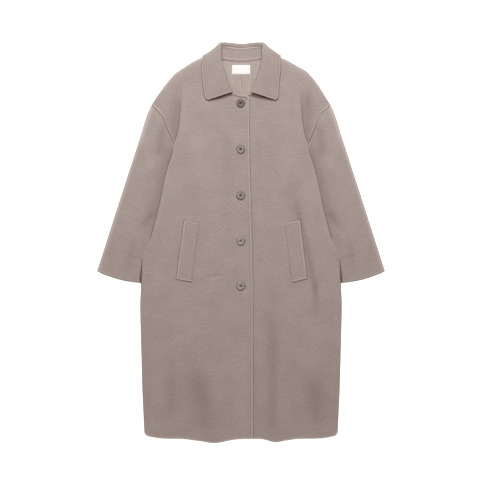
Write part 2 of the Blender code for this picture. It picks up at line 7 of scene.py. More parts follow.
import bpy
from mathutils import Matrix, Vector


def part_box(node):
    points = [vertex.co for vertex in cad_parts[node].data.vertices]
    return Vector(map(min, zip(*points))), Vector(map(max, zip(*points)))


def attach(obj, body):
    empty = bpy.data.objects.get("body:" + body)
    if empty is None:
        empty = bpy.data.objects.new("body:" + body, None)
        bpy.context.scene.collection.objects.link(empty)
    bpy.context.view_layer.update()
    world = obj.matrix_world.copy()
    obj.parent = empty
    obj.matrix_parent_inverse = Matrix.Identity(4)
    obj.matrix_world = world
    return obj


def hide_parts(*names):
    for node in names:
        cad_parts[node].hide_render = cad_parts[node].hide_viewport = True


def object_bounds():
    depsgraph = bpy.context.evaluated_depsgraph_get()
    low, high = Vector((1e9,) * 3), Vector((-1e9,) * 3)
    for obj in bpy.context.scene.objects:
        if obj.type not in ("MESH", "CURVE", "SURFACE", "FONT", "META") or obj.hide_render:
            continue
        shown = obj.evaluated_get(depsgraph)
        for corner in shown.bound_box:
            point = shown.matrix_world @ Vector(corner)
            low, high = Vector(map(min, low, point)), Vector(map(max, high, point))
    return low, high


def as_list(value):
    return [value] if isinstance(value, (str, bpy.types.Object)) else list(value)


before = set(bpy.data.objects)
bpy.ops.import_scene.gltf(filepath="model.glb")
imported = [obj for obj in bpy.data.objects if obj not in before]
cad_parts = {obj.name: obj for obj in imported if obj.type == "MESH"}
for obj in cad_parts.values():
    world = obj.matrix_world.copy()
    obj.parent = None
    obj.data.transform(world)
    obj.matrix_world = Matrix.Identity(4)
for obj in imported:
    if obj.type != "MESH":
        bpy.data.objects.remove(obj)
cad_low, cad_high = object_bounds()
print("CAD box in mm:", [round(1000 * v, 1) for v in (*cad_low, *cad_high)])

# %% [markdown]
# ## Units and places
# A tailor measures a coat from its centre line and its hem, in millimetres, so this script does too. One
# function turns such a place into metres of the frame, where the coat's middle lies over the origin.

# %% Units
import math
from collections import namedtuple
from functools import cache

import bmesh
import bpy
import numpy as np
from mathutils import Euler, Matrix, Vector
from mathutils.bvhtree import BVHTree

MM = 0.001
LENGTH = 1202.0


def placed(points):
    """Places on the coat, as across, up and height in millimetres, in metres of the frame."""
    return (np.asarray(points, float) - (0, LENGTH / 2, 0)) * MM


hem_off = placed((0, 0, 0))[1] - cad_low.y
print(f"the frame's hem is {hem_off / MM:.2f} mm from where this script puts it")

# %% [markdown]
# ## The camera
# The picture looks straight down on the coat. The lens follows from how much of the floor the picture
# spans and how high the camera hangs, so both stay real sizes. A high camera keeps the collar, which
# stands nearest to it, from looking too large.

# %% Camera
PICTURE_SPAN = 1.44
PICTURE_CENTRE = (-0.003, 0.008)
CAMERA_HEIGHT = 3.6
SENSOR = 36.0
scene = bpy.context.scene
camera_data = bpy.data.cameras.new("camera")
camera_data.sensor_fit = "HORIZONTAL"
camera_data.sensor_width = SENSOR
camera_data.lens = SENSOR * CAMERA_HEIGHT / PICTURE_SPAN
camera = bpy.data.objects.new("camera", camera_data)
camera.location = (*PICTURE_CENTRE, CAMERA_HEIGHT)
scene.collection.objects.link(camera)
scene.camera = camera
print(f"lens {camera_data.lens:.0f} mm, {CAMERA_HEIGHT} m above the floor")

# %% [markdown]
# ## The light
# The picture's light is soft and comes from beyond the collar: the shoulders are a little lighter than the
# hem, and the collar's lower edge throws a narrow shadow. A wide lamp on that side does both. Two long, low
# strips graze the cloth from the sides, which is what shows folds on a flat coat. A warmer lamp overhead and
# an even, dim world keep the shadows open, and make the hem look a little warmer than the shoulders. The
# plain view transform keeps a white floor white.

# %% Light
Lamp = namedtuple("Lamp", "name place size power tint")
COOL = (0.95, 1.0, 1.02)
WARM = (1.0, 0.95, 0.91)
WARMER = (1.0, 0.865, 0.79)
LAMPS = (
    Lamp("key", (-0.1, 2.4, 2.0), (1.6, 0.9), 97.0, COOL),
    Lamp("left_strip", (-2.4, 0.1, 0.9), (2.4, 0.5), 8.0, WARM),
    Lamp("right_strip", (2.4, 0.1, 0.9), (2.4, 0.5), 6.0, WARM),
    Lamp("overhead", (0.0, -0.35, 3.4), (2.4, 2.4), 50.0, WARMER),
)
WORLD_STRENGTH = 0.12
for lamp in LAMPS:
    light = bpy.data.lights.new(lamp.name, "AREA")
    light.shape = "RECTANGLE"
    light.size, light.size_y = lamp.size
    light.energy = lamp.power
    light.color = lamp.tint
    holder = bpy.data.objects.new(lamp.name, light)
    holder.location = lamp.place
    holder.rotation_euler = (-Vector(lamp.place)).to_track_quat("-Z", "Y").to_euler()
    scene.collection.objects.link(holder)
world = bpy.data.worlds.new("studio")
world.use_nodes = True
background = world.node_tree.nodes["Background"]
background.inputs["Color"].default_value = (*WARM, 1)
background.inputs["Strength"].default_value = WORLD_STRENGTH
scene.world = world
scene.view_settings.view_transform = "Standard"
print("lamps:", [lamp.name for lamp in LAMPS])

# %% [markdown]
# ## Shader sums as Python
# Materials are graphs of nodes, and a graph is easier to read as sums. This class wraps one socket: adding
# or multiplying two of them adds the Math node that does it. Every other node comes from one method, which
# sets the node's own choices first and then its sockets.

# %% Shader sums
CLOTH_MAP = "cloth"
PAINTED_SHADING_ATTRIBUTE = "painted_shading"
LINE_ENDS = ((-0.04, 0.03), (0.97, 1.04))
LINE_SOFT = (0.4, 1.0)


class Tint:
    """An output of a material's nodes that Python sums can use."""

    def __init__(self, tree, socket=None):
        self.tree = tree
        self.socket = socket

    def node(self, kind, settings, sockets, output=0):
        """A new node: its settings, then its sockets' values or links."""
        made = self.tree.nodes.new(kind)
        for name, value in settings.items():
            setattr(made, name, value)
        for name, value in sockets.items():
            if isinstance(value, Tint):
                self.tree.links.new(value.socket, made.inputs[name])
            else:
                made.inputs[name].default_value = value
        return Tint(self.tree, made.outputs[output])

    def maths(self, operation, first, second=0.0):
        return self.node("ShaderNodeMath", {"operation": operation}, {0: first, 1: second})

    def __add__(self, other):
        return self.maths("ADD", self, other)

    __radd__ = __add__

    def __sub__(self, other):
        return self.maths("SUBTRACT", self, other)

    def __rsub__(self, other):
        return self.maths("SUBTRACT", other, self)

    def __mul__(self, other):
        return self.maths("MULTIPLY", self, other)

    __rmul__ = __mul__

    def on_cloth(self):
        """The place on the cloth's own map."""
        return self.node("ShaderNodeUVMap", {"uv_map": CLOTH_MAP}, {})

    def in_object(self):
        """The place in the piece, in metres."""
        return self.node("ShaderNodeTexCoord", {}, {}, output="Object")

    def painted_shading(self):
        """The value that the mesh carries for its painted light and painted shade."""
        return self.node("ShaderNodeAttribute", {"attribute_name": PAINTED_SHADING_ATTRIBUTE}, {}, output="Fac")

    def bump(self, strength, distance):
        """A surface that this value lifts, by up to a distance in metres."""
        sockets = {"Height": self, "Strength": strength, "Distance": distance}
        return self.node("ShaderNodeBump", {}, sockets)

    def noise(self, scale, detail, rough):
        """A soft random value from 0 to 1 at this place."""
        sockets = {"Vector": self, "Scale": scale, "Detail": detail, "Roughness": rough}
        return self.node("ShaderNodeTexNoise", {}, sockets)

    def stretched(self, scale, turn=0.0):
        """This place, scaled along each axis and turned, for a grain that runs one way."""
        sockets = {"Vector": self, "Scale": scale, "Rotation": (0, 0, turn)}
        return self.node("ShaderNodeMapping", {}, sockets)

    def between(self, low, high):
        """0 where this value is below low, 1 above high, and soft between."""
        settings = {"interpolation_type": "SMOOTHSTEP"}
        return self.node("ShaderNodeMapRange", settings, {0: self, 1: low, 2: high})

    def near_line(self, first, last, widths):
        """1 on a straight line between two places, which is this wide at each end, and 0 away from it."""
        run = Vector(last) - Vector(first)
        square = Vector((-run.y, run.x, 0)).normalized()
        vectors = "ShaderNodeVectorMath"
        dot = {"operation": "DOT_PRODUCT"}
        offset = self.node(vectors, {"operation": "SUBTRACT"}, {0: self, 1: first})
        share = self.node(vectors, dot, {0: offset, 1: run / run.length_squared}, output="Value")
        aside = self.node(vectors, dot, {0: offset, 1: square}, output="Value")
        width = widths[0] + (widths[1] - widths[0]) * share
        far = self.maths("ABSOLUTE", self.maths("DIVIDE", aside, width))
        inside = share.between(*LINE_ENDS[0]) * (1.0 - share.between(*LINE_ENDS[1]))
        return inside * (1.0 - far.between(*LINE_SOFT))

    def mixed(self, first, second):
        """One colour where this value is 0 and another where it is 1."""
        sockets = {0: self, 6: first, 7: second}
        return self.node("ShaderNodeMix", {"data_type": "RGBA"}, sockets, output=2)


def started(name):
    """A new material, a Tint to start its sums from, and its shader."""
    material = bpy.data.materials.new(name)
    material.use_nodes = True
    tree = material.node_tree
    return material, Tint(tree), tree.nodes["Principled BSDF"]


def feed(shader, **inputs):
    """Sets or links a shader's inputs. A name's underscores stand for spaces."""
    for name, value in inputs.items():
        socket = shader.inputs[name.replace("_", " ")]
        if isinstance(value, Tint):
            value.tree.links.new(value.socket, socket)
        else:
            socket.default_value = value


def rgb(red, green, blue):
    return (red, green, blue, 1.0)


def with_painted_shading(painted_shading, colour, painted_light, painted_shade):
    """A colour that turns to a painted highlight colour where the painted shading is up, and to a painted
    shade colour where it is down.
    """
    colour = painted_shading.between(0.0, 1.0).mixed(colour, painted_light)
    return (0.0 - painted_shading).between(0.0, 1.0).mixed(colour, painted_shade)


# %% [markdown]
# ## Felted wool
# The cloth is a thick wool whose surface is brushed and felted, so no weave shows. What does show is the mix
# of lighter and darker fibres, a nap that lies towards the hem, and slight clouds where the hand has moved
# it. All of these are noises on the cloth's own map, in metres, so they run with each panel. The fibre noise
# also feeds a small bump. An attribute from the mesh carries painted light and painted shade: where it is
# up, on rims, ridges and edges, the colour turns lighter as a painted highlight, and where it is down, in
# seams, grooves, creases and troughs, darker as painted shade. Past minus one it turns to a near-black
# painted shadow, for a slit that hardly any light reaches. Lines given to the material are drawn in the
# same near-black painted shadow.

# %% Wool
WOOL = rgb(0.315, 0.259, 0.239)
WOOL_DARK = rgb(0.246, 0.196, 0.176)
WOOL_LIGHT = rgb(0.395, 0.334, 0.311)
# Colours of painted highlight, painted shade and near-black painted shadow.
WOOL_PAINTED_LIGHT = rgb(0.450, 0.388, 0.362)
WOOL_PAINTED_SHADE = rgb(0.150, 0.110, 0.092)
WOOL_PAINTED_SHADOW = rgb(0.070, 0.022, 0.009)
PAINTED_SHADOW_RANGE = (1.4, 2.4)
Noise = namedtuple("Noise", "scale detail rough")
FIBRES = Noise(1500, 3.0, 0.65)
FLECKS = Noise(430, 2.0, 0.6)
CLOUDS = Noise(17, 3.0, 0.55)
NAP = (1.0, 0.42, 1.0)
DARK_MIX = (0.37, 0.52)
LIGHT_MIX = (0.5, 0.66)
NAP_BUMP = (0.55, 0.0012)


def wool_material(name, lines=()):
    """The wool. Each line is a painted shadow line: two places on the cloth's map, two widths and how dark it
    is.
    """
    material, start, shader = started(name)
    place = start.on_cloth()
    nap = place.stretched(NAP)
    fibres = nap.noise(*FIBRES)
    flecks = nap.noise(*FLECKS)
    mix = 0.38 * fibres + 0.48 * flecks + 0.14 * place.noise(*CLOUDS)
    colour = mix.between(*DARK_MIX).mixed(WOOL_DARK, WOOL)
    colour = mix.between(*LIGHT_MIX).mixed(colour, WOOL_LIGHT)
    # Painted highlight where the mesh's attribute is up, painted shade where it is down, near-black painted
    # shadow past minus one.
    painted_shading = start.painted_shading()
    colour = with_painted_shading(painted_shading, colour, WOOL_PAINTED_LIGHT, WOOL_PAINTED_SHADE)
    colour = (0.0 - painted_shading).between(*PAINTED_SHADOW_RANGE).mixed(colour, WOOL_PAINTED_SHADOW)
    # Thin lines of near-black painted shadow.
    for line in lines:
        near = place.near_line(line.first, line.last, line.widths)
        colour = (line.dark * near).mixed(colour, WOOL_PAINTED_SHADOW)
    bump = (0.6 * fibres + 0.4 * flecks).bump(*NAP_BUMP)
    feed(shader, Base_Color=colour, Roughness=0.86 + 0.12 * flecks, Normal=bump)
    feed(shader, Sheen_Weight=0.3, Sheen_Roughness=0.5, Specular_IOR_Level=0.25)
    return material


wool = wool_material("felted_wool")
print("material:", wool.name)

# %% [markdown]
# ## A sheet of cloth from rows of points
# Every cloth piece starts as Blender's flat grid, whose points are then moved to their places on the coat.
# A Solidify modifier gives it the cloth's thickness on the inside, and a small Bevel rounds the cut edges.
# The alternative, a cloth simulation, would let the coat find its own folds, but not the folds of this one.

# %% Cloth pieces
CLOTH = 2.4
EDGE_ROUND = 0.8
EDGE_SHARE = 0.4
EDGE_SEGMENTS = 2
EDGE_ANGLE = math.radians(60)
WELD = 1e-6


def flat_lengths(grid):
    """How far each point is from its row's and its column's start, along the cloth."""
    across = np.linalg.norm(np.diff(grid, axis=1), axis=2)
    upward = np.linalg.norm(np.diff(grid, axis=0), axis=2)
    u = np.concatenate([np.zeros((len(grid), 1)), np.cumsum(across, axis=1)], axis=1)
    v = np.concatenate([np.zeros((1, grid.shape[1])), np.cumsum(upward, axis=0)], axis=0)
    return np.stack([u, v], axis=2)


def finished(name, mesh, material):
    """A named object at the origin from a bmesh, with smooth shading."""
    data = bpy.data.meshes.new(name)
    mesh.to_mesh(data)
    mesh.free()
    data.materials.append(material)
    data.shade_smooth()
    obj = bpy.data.objects.new(name, data)
    scene.collection.objects.link(obj)
    return obj


def cloth_piece(name, grid, wall, material, painted_shading, flat=None, turned=False, tube=False):
    """A sheet on a grid of points (rows, columns, 3), with its cloth map and its painted light and shade."""
    flat = flat_lengths(grid) if flat is None else flat
    rows, columns = grid.shape[:2]
    points = placed(grid)
    mesh = bmesh.new()
    bmesh.ops.create_grid(mesh, x_segments=columns - 1, y_segments=rows - 1, size=1)
    layer = mesh.verts.layers.float.new(PAINTED_SHADING_ATTRIBUTE)
    spot = {}
    for vert in mesh.verts:
        i = round((vert.co.x + 1) / 2 * (columns - 1))
        j = round((vert.co.y + 1) / 2 * (rows - 1))
        spot[vert] = (j, i)
    cloth_map = mesh.loops.layers.uv.new(CLOTH_MAP)
    for face in mesh.faces:
        for loop in face.loops:
            loop[cloth_map].uv = flat[spot[loop.vert]] * MM
    for vert, at in spot.items():
        vert.co = points[at]
        vert[layer] = painted_shading[at]
    if tube:
        bmesh.ops.remove_doubles(mesh, verts=mesh.verts, dist=WELD)
    if turned:
        bmesh.ops.reverse_faces(mesh, faces=mesh.faces)
    piece = finished(name, mesh, material)
    solid = piece.modifiers.new("wall", "SOLIDIFY")
    solid.thickness = wall * MM
    solid.offset = -1
    rounded = piece.modifiers.new("rounded_edges", "BEVEL")
    rounded.width = min(EDGE_ROUND, EDGE_SHARE * wall) * MM
    rounded.segments = EDGE_SEGMENTS
    rounded.limit_method = "ANGLE"
    rounded.angle_limit = EDGE_ANGLE
    return piece


def dressed(piece, node=None):
    """The piece lies with the coat and may stand for a node of the frame."""
    size = f"{piece.name}: {len(piece.data.polygons)} faces"
    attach(piece, "root")
    if node:
        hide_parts(node)
        top = max(vert.co.z for vert in piece.data.vertices)
        size += f", {(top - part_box(node)[1].z) / MM:+.1f} mm above its solid"
    print(size)
    return piece


# %% [markdown]
# ## The coat's outline
# Half of the outline is a few tables of points, each a height and a distance from the centre line, and a
# smooth curve through them that never swings past a point. The same tables shape the solids of the frame.

# %% Outline
Edge = namedtuple("Edge", "up out")
SIDE_EDGE = (
    Edge(0, 288.5), Edge(30, 290.4), Edge(99, 293.7), Edge(174, 297.0), Edge(264, 299.4),
    Edge(339, 301.5), Edge(414, 303.0), Edge(459, 301.3), Edge(543, 297.6), Edge(562, 293.1),
    Edge(587, 284.1), Edge(611, 272.5), Edge(648, 262.5), Edge(706, 247.2), Edge(768, 234.9),
    Edge(826, 221.0), Edge(879, 204.4), Edge(896, 201.3),
)
ARMHOLE = (
    Edge(896, 201.3), Edge(916, 209.8), Edge(936, 218.6), Edge(953, 225.4), Edge(972, 232.2),
    Edge(991, 245.2), Edge(1013, 269.0),
)
SHOULDER = (
    Edge(1013, 269.0), Edge(1055.5, 242.4), Edge(1096, 211.5), Edge(1112, 196.5),
    Edge(1122.5, 181.5), Edge(1141, 151.5), Edge(1154.6, 123.5), Edge(1156.2, 117),
    Edge(1158.4, 104), Edge(1162, 95.5),
)
FRONT_NECK = (
    Edge(1158, 91.5), Edge(1140, 90.5), Edge(1108, 80), Edge(1080, 64), Edge(1059, 46),
    Edge(1051.5, 31), Edge(1048.3, 13), Edge(1047, 0), Edge(1046, -10), Edge(1045, -16),
    Edge(1043.4, -20), Edge(1040.6, -23.1),
)
BACK_NECK = (Edge(1143, 0), Edge(1144.8, 28), Edge(1148, 50), Edge(1153.6, 72), Edge(1159.4, 92))
ARMPIT = ARMHOLE[0]
SHOULDER_TIP = ARMHOLE[-1]
FINE = 60


def eased(low, high, value):
    """0 below low, 1 above high, and a soft step between."""
    t = np.clip((value - low) / (high - low), 0.0, 1.0)
    return t * t * (3 - 2 * t)


def window(ends, value):
    """1 between the middle two of four values, 0 past the outer two, and soft between."""
    return eased(*ends[:2], value) * (1 - eased(*ends[2:], value))


def hill(value, at, width):
    """1 at a place, and falling softly to 0 on both sides of it."""
    return np.exp(-(((value - at) / width) ** 2))


def along(places, values, at):
    """A smooth curve through a table's rows that never swings past them."""
    x = np.asarray(places, float)
    y = np.asarray(values, float)
    step = np.diff(x)
    rise = np.diff(y) / step
    slope = np.zeros(len(x))
    slope[0], slope[-1] = rise[0], rise[-1]
    same_way = rise[:-1] * rise[1:] > 0
    both = np.where(same_way, rise[:-1] + rise[1:], 1.0)
    slope[1:-1] = np.where(same_way, 2 * rise[:-1] * rise[1:] / both, 0.0)
    at = np.clip(np.asarray(at, float), x[0], x[-1])
    k = np.clip(np.searchsorted(x, at, side="right") - 1, 0, len(x) - 2)
    t = (at - x[k]) / step[k]
    return (
        y[k] * (1 + 2 * t) * (1 - t) ** 2
        + slope[k] * step[k] * t * (1 - t) ** 2
        + y[k + 1] * t * t * (3 - 2 * t)
        + slope[k + 1] * step[k] * t * t * (t - 1)
    )


def out_at(table, up):
    """How far from the centre line a table's curve is, at a height."""
    return along([row.up for row in table], [row.out for row in table], up)


def up_at(table, out):
    """How high a table's curve is, at a distance from the centre line."""
    return along([row.out for row in table], [row.up for row in table], out)


def length_of(line):
    """How far each point of a line is from its start, along it."""
    return np.concatenate([[0], np.cumsum(np.linalg.norm(np.diff(line, axis=0), axis=1))])


def path(table, shares):
    """Points (out, up) on a table's curve, at these shares of its length."""
    corners = np.array([(row.out, row.up) for row in table], float)
    knots = np.arange(len(corners))
    fine = np.linspace(0, len(corners) - 1, FINE * len(corners))
    points = np.column_stack([along(knots, corners[:, i], fine) for i in (0, 1)])
    run = length_of(points)
    at = np.asarray(shares) * run[-1]
    return np.column_stack([np.interp(at, run, points[:, i]) for i in (0, 1)])


def inward(line):
    """The way into the coat from each point of its edge."""
    run = np.gradient(line, axis=0)
    way = np.column_stack([-run[:, 1], run[:, 0]])
    return way / np.linalg.norm(way, axis=1)[:, None]


print(f"shoulder to shoulder {2 * SHOULDER_TIP.out:.0f} mm, armpit {ARMPIT.up:.0f} mm above the hem")

# %% [markdown]
# ## The way the coat lies
# The hem isn't straight: it turns up towards the sides and dips where two folds run out at it. Its curve
# fades out up the coat, so it is added to every point's height and not to the tables. So is the difference
# between the shoulders, because one lies a few millimetres higher than the other.

# %% Hem and shoulders
HEM_LEVEL = 13.6
HEM_FADE = 220.0
Dip = namedtuple("Dip", "x depth spread")
HEM_DIPS = (Dip(-80, 13.0, 46), Dip(-140, 2.6, 26), Dip(105, 10.6, 29), Dip(146, 2.4, 18))
HEM_CORNER = (Edge(17, 0), Edge(10.5, 4.5), Edge(7, 13), Edge(4, 28), Edge(1, 50), Edge(0, 70))
Lift = namedtuple("Lift", "x spread height")
SHOULDER_LIFTS = (Lift(-182, 42, -2.0), Lift(220, 46, 5.0))
LIFT_STARTS = (1020.0, 1070.0)


def hem_rise(x):
    """How far the hem lies above its lowest point."""
    rise = HEM_LEVEL + up_at(HEM_CORNER, SIDE_EDGE[0].out - np.abs(x))
    for dip in HEM_DIPS:
        rise = rise - dip.depth * hill(x, dip.x, dip.spread)
    return rise


def as_laid(x, up):
    """A point's height once the hem's curve and the uneven shoulders are worked in."""
    raised = sum(lift.height * hill(x, lift.x, lift.spread) for lift in SHOULDER_LIFTS)
    return up + hem_rise(x) * (1 - eased(0, HEM_FADE, up)) + raised * eased(*LIFT_STARTS, up)


def side_out(up):
    """How far out the side and the armhole are, by height."""
    side = out_at(SIDE_EDGE, as_laid(np.full(np.shape(up), SIDE_EDGE[0].out), up))
    return np.where(up < ARMPIT.up, side, out_at(ARMHOLE, up))


print(f"the hem turns up {hem_rise(np.array(SIDE_EDGE[0].out)) - HEM_LEVEL:.0f} mm at the sides")

# %% [markdown]
# ## Folds, placed one by one
# Wool this thick makes few folds, and they are wide and shallow. Each is a line across the coat with a
# width and a height, a ridge where that is positive and a trough where it is negative, and it fades out at
# its ends. The list follows the picture: the ridges beside the sleeves, the trough beside one pocket and the
# long soft waves in the skirt. The folds also go into the painted shading: a painted highlight on the ridges
# and painted shade in the troughs. A few slow waves keep the rest from lying dead flat. The pull from each
# armpit up to the shoulder is another shape: a step on the body's side, and a slow rise towards the sleeve.

# %% Folds
Fold = namedtuple("Fold", "x0 up0 x1 up1 spread height")
FOLDS = (
    Fold(-180, 900, -163, 1060, 14, 1.2), Fold(180, 900, 163, 1060, 14, 1.2),
    Fold(-222, 850, -272, 590, 18, 1.8), Fold(222, 850, 272, 590, 18, 1.8),
    Fold(168, 720, 221, 470, 13, -1.7), Fold(222, 480, 226, 390, 14, -1.3),
    Fold(200, 340, 240, 235, 36, 1.3), Fold(-235, 230, -150, 335, 42, 1.4),
    Fold(-128, 215, -98, 10, 40, -1.3), Fold(0, 270, 6, 20, 30, 1.4),
    Fold(90, 380, 99, 0, 27, -1.3), Fold(132, 220, 128, 40, 20, 1.3),
    Fold(214, 205, 232, 30, 34, -1.1), Fold(-130, 930, -126, 770, 36, 1.6),
    Fold(201, 800, 212, 650, 16, 1.2), Fold(-250, 150, -258, 40, 26, 0.8),
    Fold(-104, 495, -80, 502, 4, -1.3), Fold(-80, 502, -53, 501, 4, -1.3),
    Fold(-100, 487, -60, 493, 6, 0.6), Fold(-42, 940, -40, 740, 22, -0.8),
    Fold(54, 930, 50, 740, 16, -0.8), Fold(146, 770, 150, 670, 24, -0.8),
    Fold(199, 1068, 200, 1012, 4, -0.5), Fold(211, 1085, 213, 975, 13, -0.6),
    Fold(-150, 930, -90, 1020, 22, 0.7), Fold(150, 930, 100, 1010, 22, 0.6),
    Fold(-205, 300, -212, 80, 20, -0.8),
)
FOLD_ENDS = (-0.25, 0.2, 0.8, 1.25)
CREASE = (
    Edge(880, 206), Edge(897, 202.2), Edge(921, 193.5), Edge(945, 188.5), Edge(965, 185), Edge(991, 183),
    Edge(1022, 180.8), Edge(1058, 177), Edge(1100, 174),
)
CREASE_DEPTH = 3.0
CREASE_SPREADS = (2.6, 36.0)
CREASE_LINE = (1.8, 1.8)
CREASE_ENDS = (885.0, 905.0, 1005.0, 1100.0)
CREASE_LINE_ENDS = (885.0, 905.0, 985.0, 1035.0)
# Painted highlight on fold ridges and painted shade in fold troughs.
FOLD_PAINTED_LIGHT = 0.14
FOLD_PAINTED_SHADE = 0.24
Wave = namedtuple("Wave", "across upward phase height")
WAVES = (
    Wave(0.031, 0.017, 0.4, 0.22), Wave(-0.023, 0.028, 1.9, 0.20), Wave(0.052, 0.011, 3.1, 0.12),
    Wave(0.014, -0.046, 5.0, 0.14),
)


def fold_rise(folds, x, up):
    """How far these folds lift the cloth."""
    total = np.zeros(np.shape(x))
    for fold in folds:
        dx, dup = fold.x1 - fold.x0, fold.up1 - fold.up0
        reach = math.hypot(dx, dup)
        t = ((x - fold.x0) * dx + (up - fold.up0) * dup) / reach**2
        aside = ((x - fold.x0) * dup - (up - fold.up0) * dx) / reach
        total = total + fold.height * window(FOLD_ENDS, t) * hill(aside, 0, fold.spread)
    return total


def fold_painted_shading(folds):
    """The painted highlight on folds' ridges and the painted shade in their troughs, from the rise of folds.
    """
    return FOLD_PAINTED_LIGHT * np.maximum(folds, 0) + FOLD_PAINTED_SHADE * np.minimum(folds, 0)


def arm_crease(x, up, spreads=CREASE_SPREADS, ends=CREASE_ENDS):
    """The pull from the armpit to the shoulder: 1 in its line, 0 away from it."""
    aside = np.abs(x) - out_at(CREASE, up)
    return window(ends, up) * hill(aside, 0, np.where(aside < 0, *spreads))


def wave_rise(x, up):
    """How far the slow waves lift the cloth."""
    return sum(w.height * np.sin(w.across * x + w.upward * up + w.phase) for w in WAVES)


print(f"{len(FOLDS)} folds, and {len(WAVES)} slow waves")

# %% [markdown]
# ## Seams and rims
# The edges of this coat are turned in and stitched six to twelve millimetres from the edge. The stitches
# pull a groove, and the cloth between it and the edge stands up as a soft rim, lightened with a painted
# highlight, with painted shade in the groove. A plain seam is narrower: a line that is pressed in, with one
# side puffed up. Both are heights over the distance from an edge, so all that they need is a function for
# that distance.

# %% Seams and rims
RIM_WIDTH = 5.6
RIM_HEIGHT = 0.6
GROOVE_DEPTH = 0.45
GROOVE_WIDTH = 1.25
# Painted highlight on rims and painted shade in their grooves.
RIM_PAINTED_LIGHT = 0.42
RIM_SKEW = 0.7
RIM_POWERS = (0.75, 1.5)
GROOVE_PAINTED_SHADE = 0.3
TINY = 1e-9
RIM_STEPS = (0, 1.2, 2.2, 3.2, 4.1, 4.8, 5.4, 6.0, 6.7, 7.6, 8.8, 10.5, 13.0)


def nearest(points, line):
    """How far points are from a line of points, and where along the line they are nearest."""
    flat = points.reshape(-1, points.shape[-1])
    best = np.full(len(flat), np.inf)
    place = np.zeros(len(flat))
    for k, (start, run) in enumerate(zip(line, np.diff(line, axis=0))):
        t = np.clip(((flat - start) @ run) / max(run @ run, TINY), 0, 1)
        far = np.linalg.norm(flat - start - t[:, None] * run, axis=1)
        closer = far < best
        best[closer] = far[closer]
        place[closer] = k + t[closer]
    return best.reshape(points.shape[:-1]), place.reshape(points.shape[:-1])


def rim_rise(far, width=RIM_WIDTH):
    """The height of a stitched rim."""
    ridge = np.sin(np.pi * np.clip(far / width, 0, 1)) ** RIM_POWERS[0]
    return RIM_HEIGHT * ridge - GROOVE_DEPTH * hill(far, width, GROOVE_WIDTH)


def rim_painted_shading(far, width=RIM_WIDTH):
    """The painted highlight on a rim, most near its edge, and the painted shade in its groove."""
    ridge = np.sin(np.pi * np.clip(far / width, 0, 1) ** RIM_SKEW) ** RIM_POWERS[1]
    return RIM_PAINTED_LIGHT * ridge - GROOVE_PAINTED_SHADE * hill(far, width, GROOVE_WIDTH)


def spread_out(length, first, last, step):
    """Places along a length: as given at both ends, and about a step apart between them."""
    low, high = first[-1], length - last[-1]
    inner = np.linspace(low, high, max(2, round((high - low) / step) + 1))
    return np.concatenate([first[:-1], inner, length - np.array(last[-2::-1])])


print(f"a rim is {RIM_WIDTH} mm wide and {RIM_HEIGHT} mm high")

# %% [markdown]
# ## Heights of the layers
# The back lies on the floor. The fronts lie on it with a little air between, and the one on top rises over
# the other's edge at the buttons. At the back of the neck the collar is folded behind the coat, so all the
# layers there ride up over its hidden leaf.

# %% Layers
GAP = 0.3
LOFT = 1.5
FRONT_TOP = 2 * CLOTH + GAP + LOFT
OVERLAP_RISE = CLOTH + GAP
OVERLAP_STARTS = (-66.0, -32.0)
LEAF_RISE = 3.2
LEAF_RUNS = (90.0, 3.0)
COLLAR_AXIS = 2.0
LEAF_LINE = (
    Edge(1119, 0), Edge(1120, 36), Edge(1137, 80), Edge(1150, 104), Edge(1154, 112),
    Edge(1168, 125), Edge(1210, 150), Edge(1300, 200),
)


def leaf_rise(x, up):
    """How far the collar's folded-back leaf lifts the cloth on it."""
    edge = up_at(LEAF_LINE, np.abs(x - COLLAR_AXIS))
    return LEAF_RISE * eased(edge - LEAF_RUNS[0], edge - LEAF_RUNS[1], up)


def plain_top(x, up, on_top):
    """The outer face of a front without its folds."""
    over = OVERLAP_RISE * eased(*OVERLAP_STARTS, x) if on_top else 0.0
    return FRONT_TOP + leaf_rise(x, up) + over


def front_top(x, up, on_top):
    """The outer face of a front, with its folds, which are never deeper than the air under it."""
    folds = fold_rise(FOLDS, x, up) + wave_rise(x, up) - CREASE_DEPTH * arm_crease(x, up)
    folds = np.where(folds < 0, LOFT * np.tanh(folds / LOFT), folds)
    return plain_top(x, up, on_top) + folds


print(f"the fronts' outer face lies {FRONT_TOP:.1f} mm above the floor")

# %% [markdown]
# ## A panel from its four edges
# A front has four sides: the hem, the whole outside from the hem over the armhole to the neck, the neckline
# and the centre edge. A Coons patch fills them with rows and columns that follow all four, so rims and seams
# always run along the grid. The neckline's shape is let in late, so that the rows lower down stay straight.

# %% Panels
EDGE_ROLL = 5.1
ROLL_POWER = 2.8
EDGE_CLEAR = 0.1
ROLL_FADE = 60.0
ROLL_STEPS = (0, 0.3, 0.8, 1.6, 2.6, 3.8, 5.1, 6.5, 8.5, 11.0)
HEM_STEPS = (0, 1.2, 2.4, 4, 7, 10, 13, 16, 20, 24, 28, 31, 33, 35, 37, 39, 41, 44)
PANEL_STEP = (4.5, 4.0)
FRONT_CORNER_UP = 1036.5
FRONT_RIM_STEPS = (0, 1.5, 3, 4.5, 5.8, 7.0, 7.8, 8.5, 9.2, 10.0, 11.0, 12.5, 15, 18)
TOP_FRONT_PASS = (
    Edge(0, 36.3), Edge(369, 36.0), Edge(549, 34.2), Edge(729, 29.8), Edge(879, 25.6),
    Edge(1035, 24.6),
)
UNDER_FRONT_PASS = (Edge(0, 27.0), Edge(1035, 27.0))
ARM_ROWS = 36
PIT_STEPS = (0, 4)
TIP_STEPS = (0, 3)
PATH_POINTS = 200
INSET_STARTS = (0.0, 0.1)
ROW_ENDS = (0.945, 0.905)
NECK_LATE = 3
Panel = namedtuple("Panel", "plan outside armhole right top")


